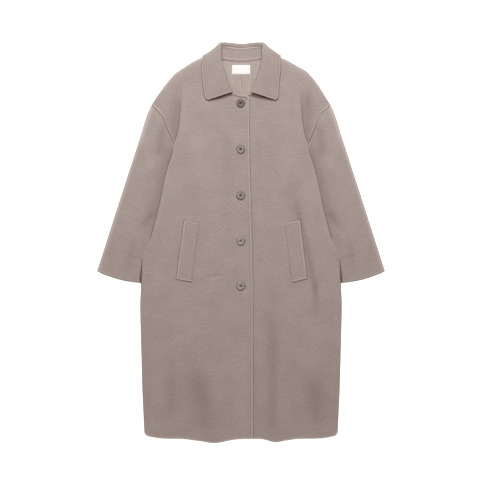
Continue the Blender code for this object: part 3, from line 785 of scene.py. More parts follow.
def coons(bottom, top, left, right, across, upward):
    """The points of a patch between four edges."""
    u = across[None, :, None]
    late = upward[:, None, None] ** NECK_LATE
    sides = left[:, None] * (1 - u) + right[:, None] * u
    ends = bottom[None] * (1 - late) + top[None] * late
    low_ends = bottom[0] * (1 - u) + bottom[-1] * u
    high_ends = top[0] * (1 - u) + top[-1] * u
    return sides + ends - low_ends * (1 - late) - high_ends * late


def half_plan(neck, centre_out, last_steps, inset=0.0):
    """Half the coat in plan, from its outside to a centre edge, as (out, up) points."""
    side_up = spread_out(ARMPIT.up, HEM_STEPS, PIT_STEPS, PANEL_STEP[1])
    arm_share = np.linspace(0, 1, ARM_ROWS)
    reach = length_of(path(SHOULDER, np.linspace(0, 1, PATH_POINTS)))[-1]
    shoulder_share = spread_out(reach, TIP_STEPS, RIM_STEPS, PANEL_STEP[1]) / reach
    side = np.column_stack([side_out(side_up) - inset, side_up])
    hole = path(ARMHOLE, arm_share)
    hole[:, 0] -= inset * (1 - eased(*INSET_STARTS, arm_share))
    shoulder = path(SHOULDER, shoulder_share)
    shoulder = shoulder + inward(shoulder) * inset * eased(*INSET_STARTS, shoulder_share)[:, None]
    left = np.concatenate([side[:-1], hole[:-1], shoulder])
    armhole = np.arange(len(left))
    armhole = (armhole >= len(side) - 1) & (armhole < len(side) + len(hole) - 1)
    low, high = ROW_ENDS[0] * ARMPIT.up, ROW_ENDS[1] * neck[-1].up
    right_up = np.concatenate([
        side_up[:-1] * ROW_ENDS[0],
        (low + (high - low) * arm_share)[:-1],
        high + (neck[-1].up - high) * shoulder_share,
    ])
    right = np.column_stack([centre_out(right_up), right_up])
    width = left[0, 0] - right[0, 0]
    across = spread_out(width, ROLL_STEPS, last_steps, PANEL_STEP[0]) / width
    bottom = left[0] + (right[0] - left[0]) * across[:, None]
    top = path((Edge(left[-1, 1], left[-1, 0]), *neck), across)
    upward = length_of(left)
    return Panel(coons(bottom, top, left, right, across, upward / upward[-1]), left, armhole, right, top)


def roll_at(line, armhole):
    """How far each point of the coat's edge rolls under: not at all at the armhole."""
    run = length_of(line)
    away = np.maximum(run[armhole].min() - run, run - run[armhole].max())
    return 1 - (1 - eased(0, ROLL_FADE, away)) ** 2


print("the panels' rows are", PANEL_STEP[1], "mm apart, and closer at the edges")

# %% [markdown]
# ## The fronts
# Each front is such a panel. Its side and shoulder edges roll down to the floor, where the side seam joins
# the back. Its centre edge and neckline carry the stitched rim, its armhole a narrow seam with a puffed side,
# and a faint ridge shows where the hem is turned up inside. Half way down, where the sleeve lies closest, the
# rolled edge is lifted and the line between the two closes. Painted light makes the cloth lighter along the
# shoulders, the hem and the rolled sides, and painted shade darkens the armpit's crease, the skirt's sides
# low down and the rolled edge beside the sleeve. The right front lies on top.

# %% Fronts
HEM_TURN_UP = 36.0
HEM_LINE_WIDTH = 3.0
# Painted light on the hem's ridge and along the hem, and painted shade on the skirt's sides low down.
HEM_LINE_PAINTED_LIGHT = 0.12
HEM_RIDGE = 0.15
HEM_PAINTED_LIGHT = ((5.0, 0.55), (32.0, 0.15))
SKIRT_PAINTED_SHADE = 0.12
SKIRT_SHADE_UPS = (50.0, 110.0, 300.0, 450.0)
SKIRT_SHADE_OUTS = (60.0, 160.0)
FRONT_RIM = 7.4
NECK_RIM_XS = (-27.0, -15.0, -3.0, 12.0, 21.0)
NECK_RIMS = (5.6, 9.0, 11.6, 10.8, 9.3)
NECK_GROOVE = 0.6
NECK_GROOVE_WIDTH = 2.3
NECK_GROOVE_STARTS = (2.0, FRONT_RIM)
# Painted shade in the neck groove and the armhole seam, and painted light on the seam's puffed side and along
# the shoulders.
NECK_PAINTED_SHADE = 0.48
SEAM_WIDTH = 1.2
SEAM_DIP = 0.35
SEAM_PAINTED_SHADE = 0.8
SEAM_PUFF = 0.7
PUFF_PAINTED_LIGHT = (0.3, 0.5)
SEAM_PAINTED_LIGHT_UPS = {-1: (970.0, 1000.0), 1: (988.0, 1010.0)}
SEAM_FAINT = {-1: 0.0, 1: 0.6}
SEAM_FAINT_UPS = (948.0, 962.0, 978.0, 994.0)
SEAM_PUFF_PLACE = (3.5, 2.4)
SHOULDER_PAINTED_LIGHT = ((26.0, 0.33), (8.0, 0.3))
SHOULDER_PAINTED_LIGHT_UPS = (SHOULDER_TIP.up, 1065.0)
# Painted shade along the armpit's crease and on the rolled edge beside the sleeve, and painted light on the
# rolled sides.
CREASE_PAINTED_SHADE = 0.46
CREASE_LINE_PAINTED_SHADE = 0.25
CLOSED_UPS = (546.0, 558.0, 600.0, 614.0)
BESIDE_SLEEVE = (478.0, 492.0)
BESIDE_PAINTED_SHADE = 0.95
SIDE_PAINTED_LIGHT = 0.25


def closes(up):
    """1 where the line between the sleeve and the body closes, 0 away from there."""
    return window(CLOSED_UPS, up)


def seam_shows(side, up):
    """How strongly the armhole seam's painted light and painted shade show, which fade for a stretch on one
    side.
    """
    return 1 - SEAM_FAINT[side] * window(SEAM_FAINT_UPS, up)


def painted_light_from(far, *bands):
    """The painted light along an edge, in bands that each have a reach and a strength."""
    return sum(strength * hill(far, 0, reach) for reach, strength in bands)


def neck_rim(x):
    """The width of the neckline's rim at places across, narrower towards the right wing of the collar."""
    return np.interp(x, NECK_RIM_XS, NECK_RIMS)


def front_piece(name, side, on_top):
    passes = TOP_FRONT_PASS if on_top else UNDER_FRONT_PASS
    corner = Edge(FRONT_CORNER_UP, -passes[-1].out)
    panel = half_plan(FRONT_NECK + (corner,), lambda up: -out_at(passes, up), FRONT_RIM_STEPS)
    plan, level = panel.plan, panel.plan[:, :, 1]
    x = side * plan[:, :, 0]
    up = as_laid(x, level)
    edges = (panel.right, panel.top, panel.outside[panel.armhole])
    from_front, from_neck, from_arm = (nearest(plan, edge)[0] for edge in edges)
    from_outside, place = nearest(plan, panel.outside)
    roll = np.interp(place, np.arange(len(panel.outside)), roll_at(panel.outside, panel.armhole))
    roll = roll * (1 - closes(level))
    from_rim = np.minimum(from_front, from_neck * FRONT_RIM / neck_rim(x))
    neck_groove = hill(from_neck, neck_rim(x), NECK_GROOVE_WIDTH) * eased(*NECK_GROOVE_STARTS, from_front)
    seam, puff = hill(from_arm, 0, SEAM_WIDTH), hill(from_arm, *SEAM_PUFF_PLACE)
    hem_line = hill(level, HEM_TURN_UP, HEM_LINE_WIDTH)
    top = front_top(x, up, on_top) + rim_rise(from_rim, FRONT_RIM) + HEM_RIDGE * hem_line
    top = top - SEAM_DIP * seam + SEAM_PUFF * puff - NECK_GROOVE * neck_groove
    low = leaf_rise(x, up) + EDGE_CLEAR
    bent = 1 - np.clip(from_outside / EDGE_ROLL, 0, 1)
    arch = (1 - bent**ROLL_POWER) ** (1 / ROLL_POWER)
    z = low + (top - low) * (1 - roll * (1 - arch))
    # Painted light and shade: a painted highlight on rims, ridges, the hem and the shoulders, and painted
    # shade in grooves, the seam, troughs, the skirt's sides and the armpit's crease.
    painted_shading = rim_painted_shading(from_rim, FRONT_RIM) - NECK_PAINTED_SHADE * neck_groove + HEM_LINE_PAINTED_LIGHT * hem_line
    painted_shading += fold_painted_shading(fold_rise(FOLDS, x, up)) + painted_light_from(level, *HEM_PAINTED_LIGHT)
    puff_painted_light = PUFF_PAINTED_LIGHT[0] + PUFF_PAINTED_LIGHT[1] * eased(*SEAM_PAINTED_LIGHT_UPS[side], up)
    painted_shading += (puff_painted_light * puff - SEAM_PAINTED_SHADE * seam) * seam_shows(side, up)
    painted_shading -= SKIRT_PAINTED_SHADE * window(SKIRT_SHADE_UPS, up) * eased(*SKIRT_SHADE_OUTS, np.abs(x))
    painted_shading += painted_light_from(from_outside, *SHOULDER_PAINTED_LIGHT) * eased(*SHOULDER_PAINTED_LIGHT_UPS, up)
    painted_shading -= CREASE_PAINTED_SHADE * arm_crease(x, up)
    painted_shading -= CREASE_LINE_PAINTED_SHADE * arm_crease(x, up, CREASE_LINE, CREASE_LINE_ENDS)
    # Painted light on the rolled sides, and painted shade on the rolled edge beside the sleeve.
    beside_sleeve_shade = eased(*BESIDE_SLEEVE, up) * (1 - closes(up)) * (from_arm > EDGE_ROLL) * (level < ARMPIT.up)
    painted_shading += bent * roll * (SIDE_PAINTED_LIGHT - BESIDE_PAINTED_SHADE * beside_sleeve_shade)
    grid = np.stack([x, up, z], axis=2)
    piece = cloth_piece(name, grid, CLOTH, wool, painted_shading, flat=grid[:, :, :2], turned=side > 0)
    return dressed(piece, name.replace("wool_", ""))


front_right = front_piece("wool_front_right", -1, True)
front_left = front_piece("wool_front_left", 1, False)

# %% [markdown]
# ## The back
# The back is one panel, from side seam to side seam, inside the fronts' rolled edges. It is the face that
# lies on the floor, so it is flat but for a few shallow creases, which the floor has pressed.

# %% Back
BACK_CLEAR = 0.4
BACK_INSET = EDGE_ROLL + BACK_CLEAR
BACK_STEPS = (0.0, 4.0)
BACK_HEM_PAINTED_LIGHT = 0.2
BACK_CREASES = (
    Fold(-150, 880, -60, 640, 12, 0.5), Fold(140, 860, 50, 600, 12, 0.5), Fold(-190, 520, -60, 470, 9, 0.4),
    Fold(70, 420, 190, 360, 10, 0.4), Fold(-100, 330, -120, 40, 16, 0.6), Fold(110, 300, 120, 30, 16, 0.6),
    Fold(0, 1040, 10, 800, 14, 0.4),
)


def back_piece():
    neck = BACK_NECK[-2::-1]
    plan = half_plan(neck, lambda up: 0 * up, BACK_STEPS, BACK_INSET).plan
    out = np.concatenate([-plan[:, :, 0], plan[:, -2::-1, 0]], axis=1)
    level = np.concatenate([plan[:, :, 1], plan[:, -2::-1, 1]], axis=1)
    up = as_laid(out, level)
    z = CLOTH + leaf_rise(out, up) + fold_rise(BACK_CREASES, out, up)
    grid = np.stack([out, up, z], axis=2)
    # Painted light on the hem's turned-up ridge.
    painted_shading = BACK_HEM_PAINTED_LIGHT * hill(level, HEM_TURN_UP, HEM_LINE_WIDTH)
    piece = cloth_piece("wool_back", grid, CLOTH, wool, painted_shading, flat=grid[:, :, :2])
    return dressed(piece, "back")


back = back_piece()

# %% [markdown]
# ## The sleeves
# A sleeve lies as a flattened tube beside the coat, from the armhole to the cuff. Its rings run across the
# upper face, round the outer fold, back along the floor and round the inner fold. It could also be two
# separate faces, but a tube keeps the folds round and the cuff open, as a real one. The cuff's edge turns in
# and is darkened with painted shade, with a painted highlight on the crest behind it, and painted shade makes
# the sleeve a little darker towards the cuff. Beside the cuff the sleeve leaves the body, and a slit opens,
# darkened with painted shadow. Painted shade darkens a band along the inner fold and the fold's own line, and
# painted light lightens the outer fold.

# %% Sleeves
CUFF = (
    Edge(480, 299.9), Edge(482.4, 322.5), Edge(486.9, 349.5), Edge(494.1, 376.5),
    Edge(503.1, 403.5), Edge(510.3, 421.5), Edge(516.6, 432.0),
)
SLEEVE_OUTSIDE = (
    Edge(1013, 269.0), Edge(997.5, 277.2), Edge(967.5, 288.2), Edge(937.5, 297.2),
    Edge(907.5, 306.4), Edge(700, 373.4), Edge(516.6, 432.0),
)
BESIDE_SIDE = -0.5
LEAVES_SIDE_UP = 620.0
SLEEVE_CROWN = 3.0
INNER_EDGE_DROP = 1.4
BELOW_PIT = 0.01
CROWN_STARTS = (0.0, 0.2)
CROWN_SKEW = 1.2
TIP_CLEAR = 0.2
SLEEVE_LENGTH = 520.0
SLEEVE_STEP = 4.0
ARM_STEPS = (0, 1.2, 2.4, 3.6, 5.0, 7.0, 10.0)
SLEEVE_ACROSS = 44
SLEEVE_TURN = np.radians([72, 54, 36, 18, 0, -18, -36, -54, -72])
SLEEVE_FOLDS = (
    Fold(235, 950, 247, 850, 15, -1.6),
    Fold(262, 690, 300, 644, 12, -0.6), Fold(258, 672, 300, 616, 10, 0.8),
    Fold(240, 860, 300, 800, 14, 1.0), Fold(300, 930, 262, 820, 16, 1.1),
    Fold(330, 700, 372, 560, 20, 1.0), Fold(318, 640, 340, 520, 16, -0.9),
)
SHUT_OVERLAP = 1.6
# Painted light along the outer fold.
SLEEVE_EDGE_PAINTED_LIGHT = (10.5, 0.76)
SLEEVE_TOP_PAINTED_LIGHT = (30.0, 0.27)
SLEEVE_TOP_UPS = (880.0, 980.0)
CUFF_ROLL = 4.8
CUFF_DROP = 1.3
CUFF_CREST = (5.9, 1.5)
# Painted highlight on the cuff's crest, painted shade on its turned edge and towards the cuff, painted shadow
# in the slit, and painted shade in the inner band and along the fold's line.
CUFF_PAINTED_LIGHT = 0.6
CUFF_PAINTED_SHADE = 0.4
SLEEVE_END_PAINTED_SHADE = (140.0, 0.05)
SLIT_OPENS = (494.0, 548.0)
SLIT_WIDTH = 3.1
SLIT_SOFT = (0.7, 1.3)
SLIT_PAINTED_SHADOW = 1.5
INNER_BAND = (6.0, 60.0)
INNER_BAND_PAINTED_SHADE = 0.42
BAND_AT_CUFF = 0.35
BAND_FADES = (560.0, 680.0)
BAND_STARTS = (-15.0, 25.0)
FOLD_LINE = (0.0, 3.0)
FOLD_LINE_STARTS = (0.0, 10.0)
FOLD_LINE_PAINTED_SHADE = 0.5
SLIT_SHUT = 0.01


def bow_of(line, share):
    """How far each point of a line is from the straight between its ends."""
    return line - (line[:1] + (line[-1:] - line[:1]) * share[:, None])


def sleeve_rings(side):
    """The sleeve's rings of points, and how far each is from the armhole and from the inner fold."""
    t = spread_out(SLEEVE_LENGTH, ARM_STEPS, RIM_STEPS, SLEEVE_STEP) / SLEEVE_LENGTH
    share = np.linspace(0, 1, SLEEVE_ACROSS)
    arm_up = ARMPIT.up + (SHOULDER_TIP.up - ARMPIT.up) * share
    hole = np.column_stack([out_at(ARMHOLE, arm_up), arm_up])
    side_up = ARMPIT.up + (CUFF[0].up - ARMPIT.up) * t
    body = np.column_stack([side_out(np.minimum(side_up, ARMPIT.up - BELOW_PIT)), side_up])
    leaves = 1 - eased(CUFF[0].up, LEAVES_SIDE_UP, side_up)
    shut = closes(side_up)
    clear = BESIDE_SIDE + (CUFF[0].out - body[-1, 0] - BESIDE_SIDE) * leaves - SHUT_OVERLAP * shut
    inside = body + inward(body) * clear[:, None]
    start = TIP_CLEAR / SLEEVE_LENGTH
    outside = path(SLEEVE_OUTSIDE, start + (1 - start) * t)
    arm_bow, cuff_bow = bow_of(hole, share), bow_of(path(CUFF, share), share)
    hump = np.sin(np.pi * share**CROWN_SKEW)
    rings, from_inner = [], []
    for i, down in enumerate(t):
        line = inside[i] + (outside[i] - inside[i]) * share[:, None]
        line = line + (1 - down) ** 2 * arm_bow + down**2 * cuff_bow
        run = length_of(line)
        begun = eased(*CROWN_STARTS, down)
        inner = (FRONT_TOP - INNER_EDGE_DROP * begun * (1 - shut[i])) / 2
        outer = FRONT_TOP / 2
        across = inner + (run[-1] - inner - outer) * share
        places = np.concatenate([
            across,
            run[-1] - outer + outer * np.cos(SLEEVE_TURN),
            across[::-1],
            inner - inner * np.cos(SLEEVE_TURN[::-1]),
        ])
        out, up = (np.interp(places, run, line[:, k]) for k in (0, 1))
        face = side * out[:SLEEVE_ACROSS], up[:SLEEVE_ACROSS]
        folds = fold_rise(SLEEVE_FOLDS, np.abs(face[0]), face[1]) + wave_rise(*face)
        crown = SLEEVE_CROWN * begun * hump + folds * np.minimum(1, 2 * hump)
        crown = crown - CREASE_DEPTH * arm_crease(*face) * (1 - begun)
        from_cuff = (1 - down) * SLEEVE_LENGTH
        edges = -CUFF_DROP * max(0.0, 1 - from_cuff / CUFF_ROLL) ** 2
        edges = edges - SEAM_DIP * hill(down * SLEEVE_LENGTH, 0, SEAM_WIDTH)
        heights = np.concatenate([
            2 * inner + 2 * (outer - inner) * share + crown + edges,
            outer + outer * np.sin(SLEEVE_TURN),
            np.zeros(SLEEVE_ACROSS),
            inner + inner * np.sin(SLEEVE_TURN[::-1]),
        ])
        rings.append(np.column_stack([side * out, up, heights]))
        from_inner.append(places)
    return np.array(rings), t * SLEEVE_LENGTH, np.array(from_inner)


def sleeve_piece(name, side):
    rings, down, from_inner = sleeve_rings(side)
    from_inner = np.concatenate([from_inner, from_inner[:, :1]], axis=1)
    closed = np.concatenate([rings, rings[:, :1]], axis=1)
    x, up = closed[:, :, 0], closed[:, :, 1]
    from_cuff = SLEEVE_LENGTH - down
    from_outer = from_inner.max(axis=1, keepdims=True) - from_inner
    # Painted highlight on the cuff's crest, and painted shade on its turned edge and towards the cuff.
    cuff_painted = CUFF_PAINTED_LIGHT * hill(from_cuff, *CUFF_CREST)
    cuff_painted = cuff_painted - CUFF_PAINTED_SHADE * (1 - eased(0, CUFF_ROLL, from_cuff))
    cuff_painted = cuff_painted - SLEEVE_END_PAINTED_SHADE[1] * (1 - eased(0, SLEEVE_END_PAINTED_SHADE[0], from_cuff))
    # Painted shade in a band along the inner fold and along the fold's line, and painted shadow in the slit.
    inner_band_shade = (1 - eased(*INNER_BAND, from_inner)) * eased(*BAND_STARTS, down)[:, None]
    inner_band_shade = inner_band_shade * (BAND_AT_CUFF + (1 - BAND_AT_CUFF) * eased(*BAND_FADES, up))
    fold_line_shade = (1 - eased(*FOLD_LINE, from_inner)) * eased(*FOLD_LINE_STARTS, down)[:, None]
    fold_line_shade = fold_line_shade * (1 - closes(up))
    slit_width = SLIT_WIDTH * (1 - eased(*SLIT_OPENS, up))
    slit_shadow = 1 - eased(*SLIT_SOFT, from_inner / np.maximum(slit_width, SLIT_SHUT))
    upper = np.arange(closed.shape[1]) < SLEEVE_ACROSS
    painted_shading = cuff_painted[:, None] - INNER_BAND_PAINTED_SHADE * inner_band_shade - FOLD_LINE_PAINTED_SHADE * fold_line_shade - SLIT_PAINTED_SHADOW * slit_shadow
    painted_shading -= SEAM_PAINTED_SHADE * hill(down, 0, SEAM_WIDTH)[:, None] * seam_shows(side, up)
    # Painted light along the outer fold.
    painted_shading += painted_light_from(from_outer, SLEEVE_EDGE_PAINTED_LIGHT)
    painted_shading += painted_light_from(from_outer, SLEEVE_TOP_PAINTED_LIGHT) * eased(*SLEEVE_TOP_UPS, up)
    painted_shading += fold_painted_shading(upper * fold_rise(SLEEVE_FOLDS, np.abs(x), up))
    piece = cloth_piece(name, closed, CLOTH, wool, painted_shading, turned=side > 0, tube=True)
    return dressed(piece, name.replace("wool_", ""))


sleeve_right = sleeve_piece("wool_sleeve_right", -1)
sleeve_left = sleeve_piece("wool_sleeve_left", 1)

# %% [markdown]
# ## The collar
# The collar has two parts. The fall is the part that shows: from a short leg inside the neck it bends over
# the roll line and lies down as the two wings, and behind the neck as a leaf under the coat. The stand is
# the band between the neck seam and that leg. Each is a row of sections round the neck, from a table for
# half of it: where the roll and the outer edge are, which way the bend turns, and where the neck seam is.
# The wings aren't quite alike, so a second table shifts the outer edge, by section and side.

# %% Collar sections
Section = namedtuple(
    "Section",
    "roll_out roll_up roll_z edge_out edge_up edge_z turn leg neck_out neck_up",
)
EDGE_OUT, EDGE_UP = Section._fields.index("edge_out"), Section._fields.index("edge_up")
COLLAR = (
    Section(0, 1197.5, 4.0, 0, 1119, 0, -90, 9, 0, 1143),
    Section(30, 1200.5, 4.0, 36, 1120, 0, -90, 9, 28, 1144.8),
    Section(51, 1202.5, 4.3, 80, 1137, 0, -82, 9, 50, 1148),
    Section(58, 1201.4, 5.2, 112, 1154.5, 0, -45, 9, 72, 1153.6),
    Section(60, 1199.5, 12, 118, 1161.5, 6.5, 0, 10, 88.5, 1160),
    Section(60.5, 1189, 17, 117.5, 1148, 12.5, 60, 9, 91, 1153),
    Section(60.5, 1160, 19, 117, 1119, 9.8, 90, 8, 90, 1140),
    Section(56, 1129, 19, 112.5, 1078, 9.8, 90, 7, 80, 1108),
    Section(47, 1097, 17.5, 110, 1050, 10.6, 90, 5.5, 64, 1080),
    Section(36, 1067, 15.4, 106, 1034, 10.6, 90, 3.5, 46, 1059),
    Section(27.5, 1051, 14.4, 98, 1028, 10.8, 90, 1.0, 31, 1051.5),
)
MIRRORED = np.array([-1, 1, 1, -1, 1, 1, 1, 1, -1, 1])
WING_SHIFTS = {
    -10: (-2.0, 0.0), -9: (-2.2, 0.0), -8: (-2.6, 0.0), -7: (-3.4, 0.0), -6: (-3.4, 0.0), -5: (-1.5, 0.0),
    4: (0.0, 0.4), 5: (-0.5, 0.6), 6: (-1.0, 0.0), 7: (-0.5, 0.0), 8: (0.5, 0.0), 9: (1.6, 0.0),
    10: (2.0, 0.0),
}
COLLAR_END = len(COLLAR) - 1
COLLAR_BEND = 4.0


def collar_rows(at):
    """Sections of the collar at these places, from its right end to its left end."""
    table = np.array(COLLAR, float)
    whole = np.concatenate([table[:0:-1] * MIRRORED, table])
    index = np.arange(-COLLAR_END, COLLAR_END + 1)
    for section, shift in WING_SHIFTS.items():
        whole[section + COLLAR_END, [EDGE_OUT, EDGE_UP]] += shift
    columns = [along(index, whole[:, k], at) for k in range(whole.shape[1])]
    return [Section(*row) for row in np.column_stack(columns)]


def collar_frame(row, left):
    """A section's roll, and the ways down the fall, round the bend and to the neck."""
    roll = np.array([row.roll_out, row.roll_up, row.roll_z])
    fall = np.array([row.edge_out - row.roll_out, row.edge_up - row.roll_up, 0])
    neck = np.array([row.neck_out - row.roll_out, row.neck_up - row.roll_up, 0])
    fall, neck = fall / np.linalg.norm(fall), neck / np.linalg.norm(neck)
    turn = math.radians(row.turn)
    square = np.array([-fall[1], fall[0], 0]) * (1 if left else -1)
    round_way = square * math.cos(turn) + np.array([0, 0, math.sin(turn)])
    return roll, fall, round_way, neck


print(f"{len(COLLAR)} sections for half the collar")

# %% [markdown]
# ## The fall
# The wings lie on the fronts and are never lower than the cloth under them. A soft maximum, which is a plain
# one with its corner rounded off, and a few rounds of smoothing keep that from leaving a crease. The outer
# edge and both ends carry the stitched rim, with its painted highlight, whose distance is measured from the
# edge's own line in plan. Painted shade darkens the cloth where it turns in over the roll, less so high on
# the right side, and where the leg ends at the stand.

# %% Collar fall
FALL_LENGTH = 74.0
FALL_STEPS = (0, 1.5, 4.0)
FALL_STEP = 3.0
SECTION_STEP = 0.11
SLOPE_POWER = 1.5
FOLDED_TURN = -60.0
CALM_STARTS = (0.0, 0.2)
WING_WAVES = 0.6
LEG_STEPS = np.linspace(1, 0, 4)[:-1]
BEND_ANGLES = np.radians(np.linspace(-90, 90, 15))
WING_TURN = (0.0, 80.0)
WING_SHOWS = 0.3
SOFT_CORNER = 2.0
SLOPE_SAGS = (3.0, 1.4)
# Painted shade inside the roll and where the leg ends.
ROLL_PAINTED_SHADE = 0.4
ROLL_DARK = np.radians([15, 60])
ROLL_SOFT = 0.75
ROLL_SOFT_UPS = (1110.0, 1150.0)
LEG_END_ROWS = 2
LEG_END_PAINTED_SHADE = (0.22, 0.34)
LEG_END_OUTS = (15.0, 46.0)
SMOOTH_ROUNDS = 40
END_STEPS = (0, 0.1, 0.2, 0.3, 0.4, 0.5, 0.6, 0.72, 0.86, 1.0)


def soft_max(a, b):
    """The larger of two heights, with the corner between them rounded off."""
    return (a + b + np.sqrt((a - b) ** 2 + SOFT_CORNER**2)) / 2


def smoothed(heights, share):
    """Heights on a grid, evened out with their neighbours by this share, and left at their ends."""
    calm = heights.copy()
    for _ in range(SMOOTH_ROUNDS):
        middle = calm.copy()
        middle[1:-1] = (calm[:-2] + 2 * calm[1:-1] + calm[2:]) / 4
        middle[:, 1:-1] = (middle[:, :-2] + 2 * middle[:, 1:-1] + middle[:, 2:]) / 4
        calm = middle
    return heights + share * (calm - heights)


def fall_section(at, row, steps):
    """One section of the fall, from the leg's end to the outer edge."""
    roll, fall, round_way, neck = collar_frame(row, at >= 0)
    hub = roll + fall * COLLAR_BEND
    bend = hub + COLLAR_BEND * (
        np.sin(BEND_ANGLES)[:, None] * round_way - np.cos(BEND_ANGLES)[:, None] * fall
    )
    leg = bend[0] + neck * row.leg * LEG_STEPS[:, None]
    edge = np.array([row.edge_out, row.edge_up, row.edge_z])
    q = steps[1:]
    leaf = bend[-1] + (edge - bend[-1]) * q[:, None]
    aside = np.array([-fall[1], fall[0], 0]) * (1 if at >= 0 else -1)
    sag = SLOPE_SAGS[int(at >= 0)] * max(0.0, math.cos(math.radians(row.turn))) * (row.turn > FOLDED_TURN)
    leaf = leaf - aside * (sag * np.sin(np.pi * q))[:, None]
    leaf[:, 2] = edge[2] + (bend[-1][2] - edge[2]) * (1 - q) ** SLOPE_POWER * (1 + SLOPE_POWER * q)
    under = front_top(leaf[:, 0] + COLLAR_AXIS, leaf[:, 1], on_top=at < 0) + CLOTH + 2 * GAP
    on_front = eased(*WING_TURN, row.turn)
    leaf[:, 2] += on_front * (soft_max(leaf[:, 2], under) - leaf[:, 2])
    leaf[:, 2] = np.maximum(leaf[:, 2], 0)
    return np.concatenate([leg, bend, leaf])


def fall_piece():
    at = spread_out(2 * COLLAR_END, END_STEPS, END_STEPS, SECTION_STEP) - COLLAR_END
    steps = spread_out(FALL_LENGTH, FALL_STEPS, RIM_STEPS, FALL_STEP) / FALL_LENGTH
    rows = collar_rows(at)
    grid = np.array([fall_section(a, row, steps) for a, row in zip(at, rows)])
    grid[:, :, 0] += COLLAR_AXIS
    first = len(LEG_STEPS) + len(BEND_ANGLES) - 1
    on_wing = eased(*WING_TURN, np.array([row.turn for row in rows]))[:, None]
    from_edge = np.full(grid.shape[:2], np.inf)
    for half in (at < 0, at > 0):
        wing_rows = grid[half & (on_wing[:, 0] > WING_SHOWS)]
        end = wing_rows[0] if at[half][0] < 0 else wing_rows[-1]
        from_edge[half] = np.minimum(
            nearest(grid[half][:, :, :2], wing_rows[:, -1, :2])[0],
            nearest(grid[half][:, :, :2], end[first:, :2])[0],
        )
    grid[:, first:, 2] = smoothed(grid[:, first:, 2], on_wing * eased(*CALM_STARTS, steps))
    wing = on_wing * (np.arange(grid.shape[1]) >= first)
    grid[:, :, 2] += wing * (rim_rise(from_edge) + WING_WAVES * wave_rise(grid[:, :, 0], grid[:, :, 1]))
    inside = np.ones(grid.shape[1])
    inside[first + 1:] = 0
    inside[len(LEG_STEPS):first + 1] = 1 - eased(*ROLL_DARK, BEND_ANGLES)
    softer = 1 - ROLL_SOFT * (at < 0) * eased(*ROLL_SOFT_UPS, np.array([row.roll_up for row in rows]))
    # Painted highlight on the wing's rim, and painted shade inside the roll and where the leg ends.
    painted_shading = wing * rim_painted_shading(from_edge) - ROLL_PAINTED_SHADE * on_wing * softer[:, None] * inside
    middle, ends = LEG_END_PAINTED_SHADE
    leg_end_shade = middle + ends * eased(*LEG_END_OUTS, np.abs(grid[:, :LEG_END_ROWS, 0] - COLLAR_AXIS))
    painted_shading[:, :LEG_END_ROWS] -= (1 - on_wing) * leg_end_shade
    piece = cloth_piece("wool_collar_fall", grid, CLOTH, wool, painted_shading, turned=True)
    return dressed(piece, "collar_fall")


collar_fall = fall_piece()

# %% [markdown]
# ## The stand
# The band inside the neck is sewn to the fall's leg along its upper edge and to the neckline along its lower
# one. Both seams show as a raised line with a painted highlight and a line of painted shade under it, where
# the cloth turns in, and the whole band is a little lighter with painted light. Painted shade darkens it
# close under the roll, where little light comes.

# %% Collar stand
STAND_REACH = 9.9
SEWN_IN = 0.6
LEAN_IN = 2.0
STAND_SECTIONS = 150
STAND_RIDGE = 0.8
# Painted light on the band and its ridges, and painted shade in its seam lines and under the roll.
STAND_PAINTED_LIGHT = 0.15
LOW_RIDGE = (0.11, 0.07)
LOW_RIDGE_PAINTED_LIGHT = 0.25
HIGH_RIDGE = (0.93, 0.05)
HIGH_RIDGE_SHARE = 0.8
HIGH_RIDGE_PAINTED_LIGHT = 0.68
HIGH_RIDGE_ENDS = (35.0, 51.0)
LOW_LINE = (0.0, 0.018)
LOW_LINE_SHARE = 0.6
HIGH_LINE = (0.84, 0.018)
STAND_LINE_DEPTH = 0.5
STAND_LINE_PAINTED_SHADE = 0.75
ROLL_LINE_AT = np.linspace(4.5, COLLAR_END, 40)
UNDER_ROLL = 8.0
UNDER_ROLL_PAINTED_SHADE = 0.4
STAND_STEPS = np.concatenate([
    np.linspace(0, 0.24, 13), np.linspace(0.24, 0.78, 9)[1:], np.linspace(0.78, 1, 12)[1:],
])


def stand_section(at, row):
    """One section of the stand, from the neck seam up, and how far the back carries it."""
    roll, fall, round_way, neck = collar_frame(row, at >= 0)
    top = roll + fall * COLLAR_BEND - round_way * COLLAR_BEND + neck * (row.leg + SEWN_IN)
    top[0] += COLLAR_AXIS
    on_back = (1 - math.sin(math.radians(row.turn))) / 2
    clear = SEWN_IN + (1 - on_back) * LEAN_IN
    x, up = row.neck_out - neck[0] * clear, row.neck_up - neck[1] * clear
    back_top = CLOTH + leaf_rise(x, up)
    front_low = plain_top(x, up, on_top=at < 0) - CLOTH
    bottom = np.array([x, up, on_back * back_top + (1 - on_back) * front_low])
    return bottom + (top - bottom) * STAND_STEPS[:, None], on_back


def roll_line(rows):
    """The collar's roll in plan, as points (x, up)."""
    return np.array([(row.roll_out + COLLAR_AXIS, row.roll_up) for row in rows])


def under_roll_shade(grid):
    """How much painted shade lies beside the collar's roll: 1 at its line in plan, 0 a little away from it.
    """
    lines = [roll_line(collar_rows(side * ROLL_LINE_AT)) for side in (-1, 1)]
    far = np.minimum(*(nearest(grid[:, :, :2], line)[0] for line in lines))
    return 1 - eased(0, UNDER_ROLL, far)


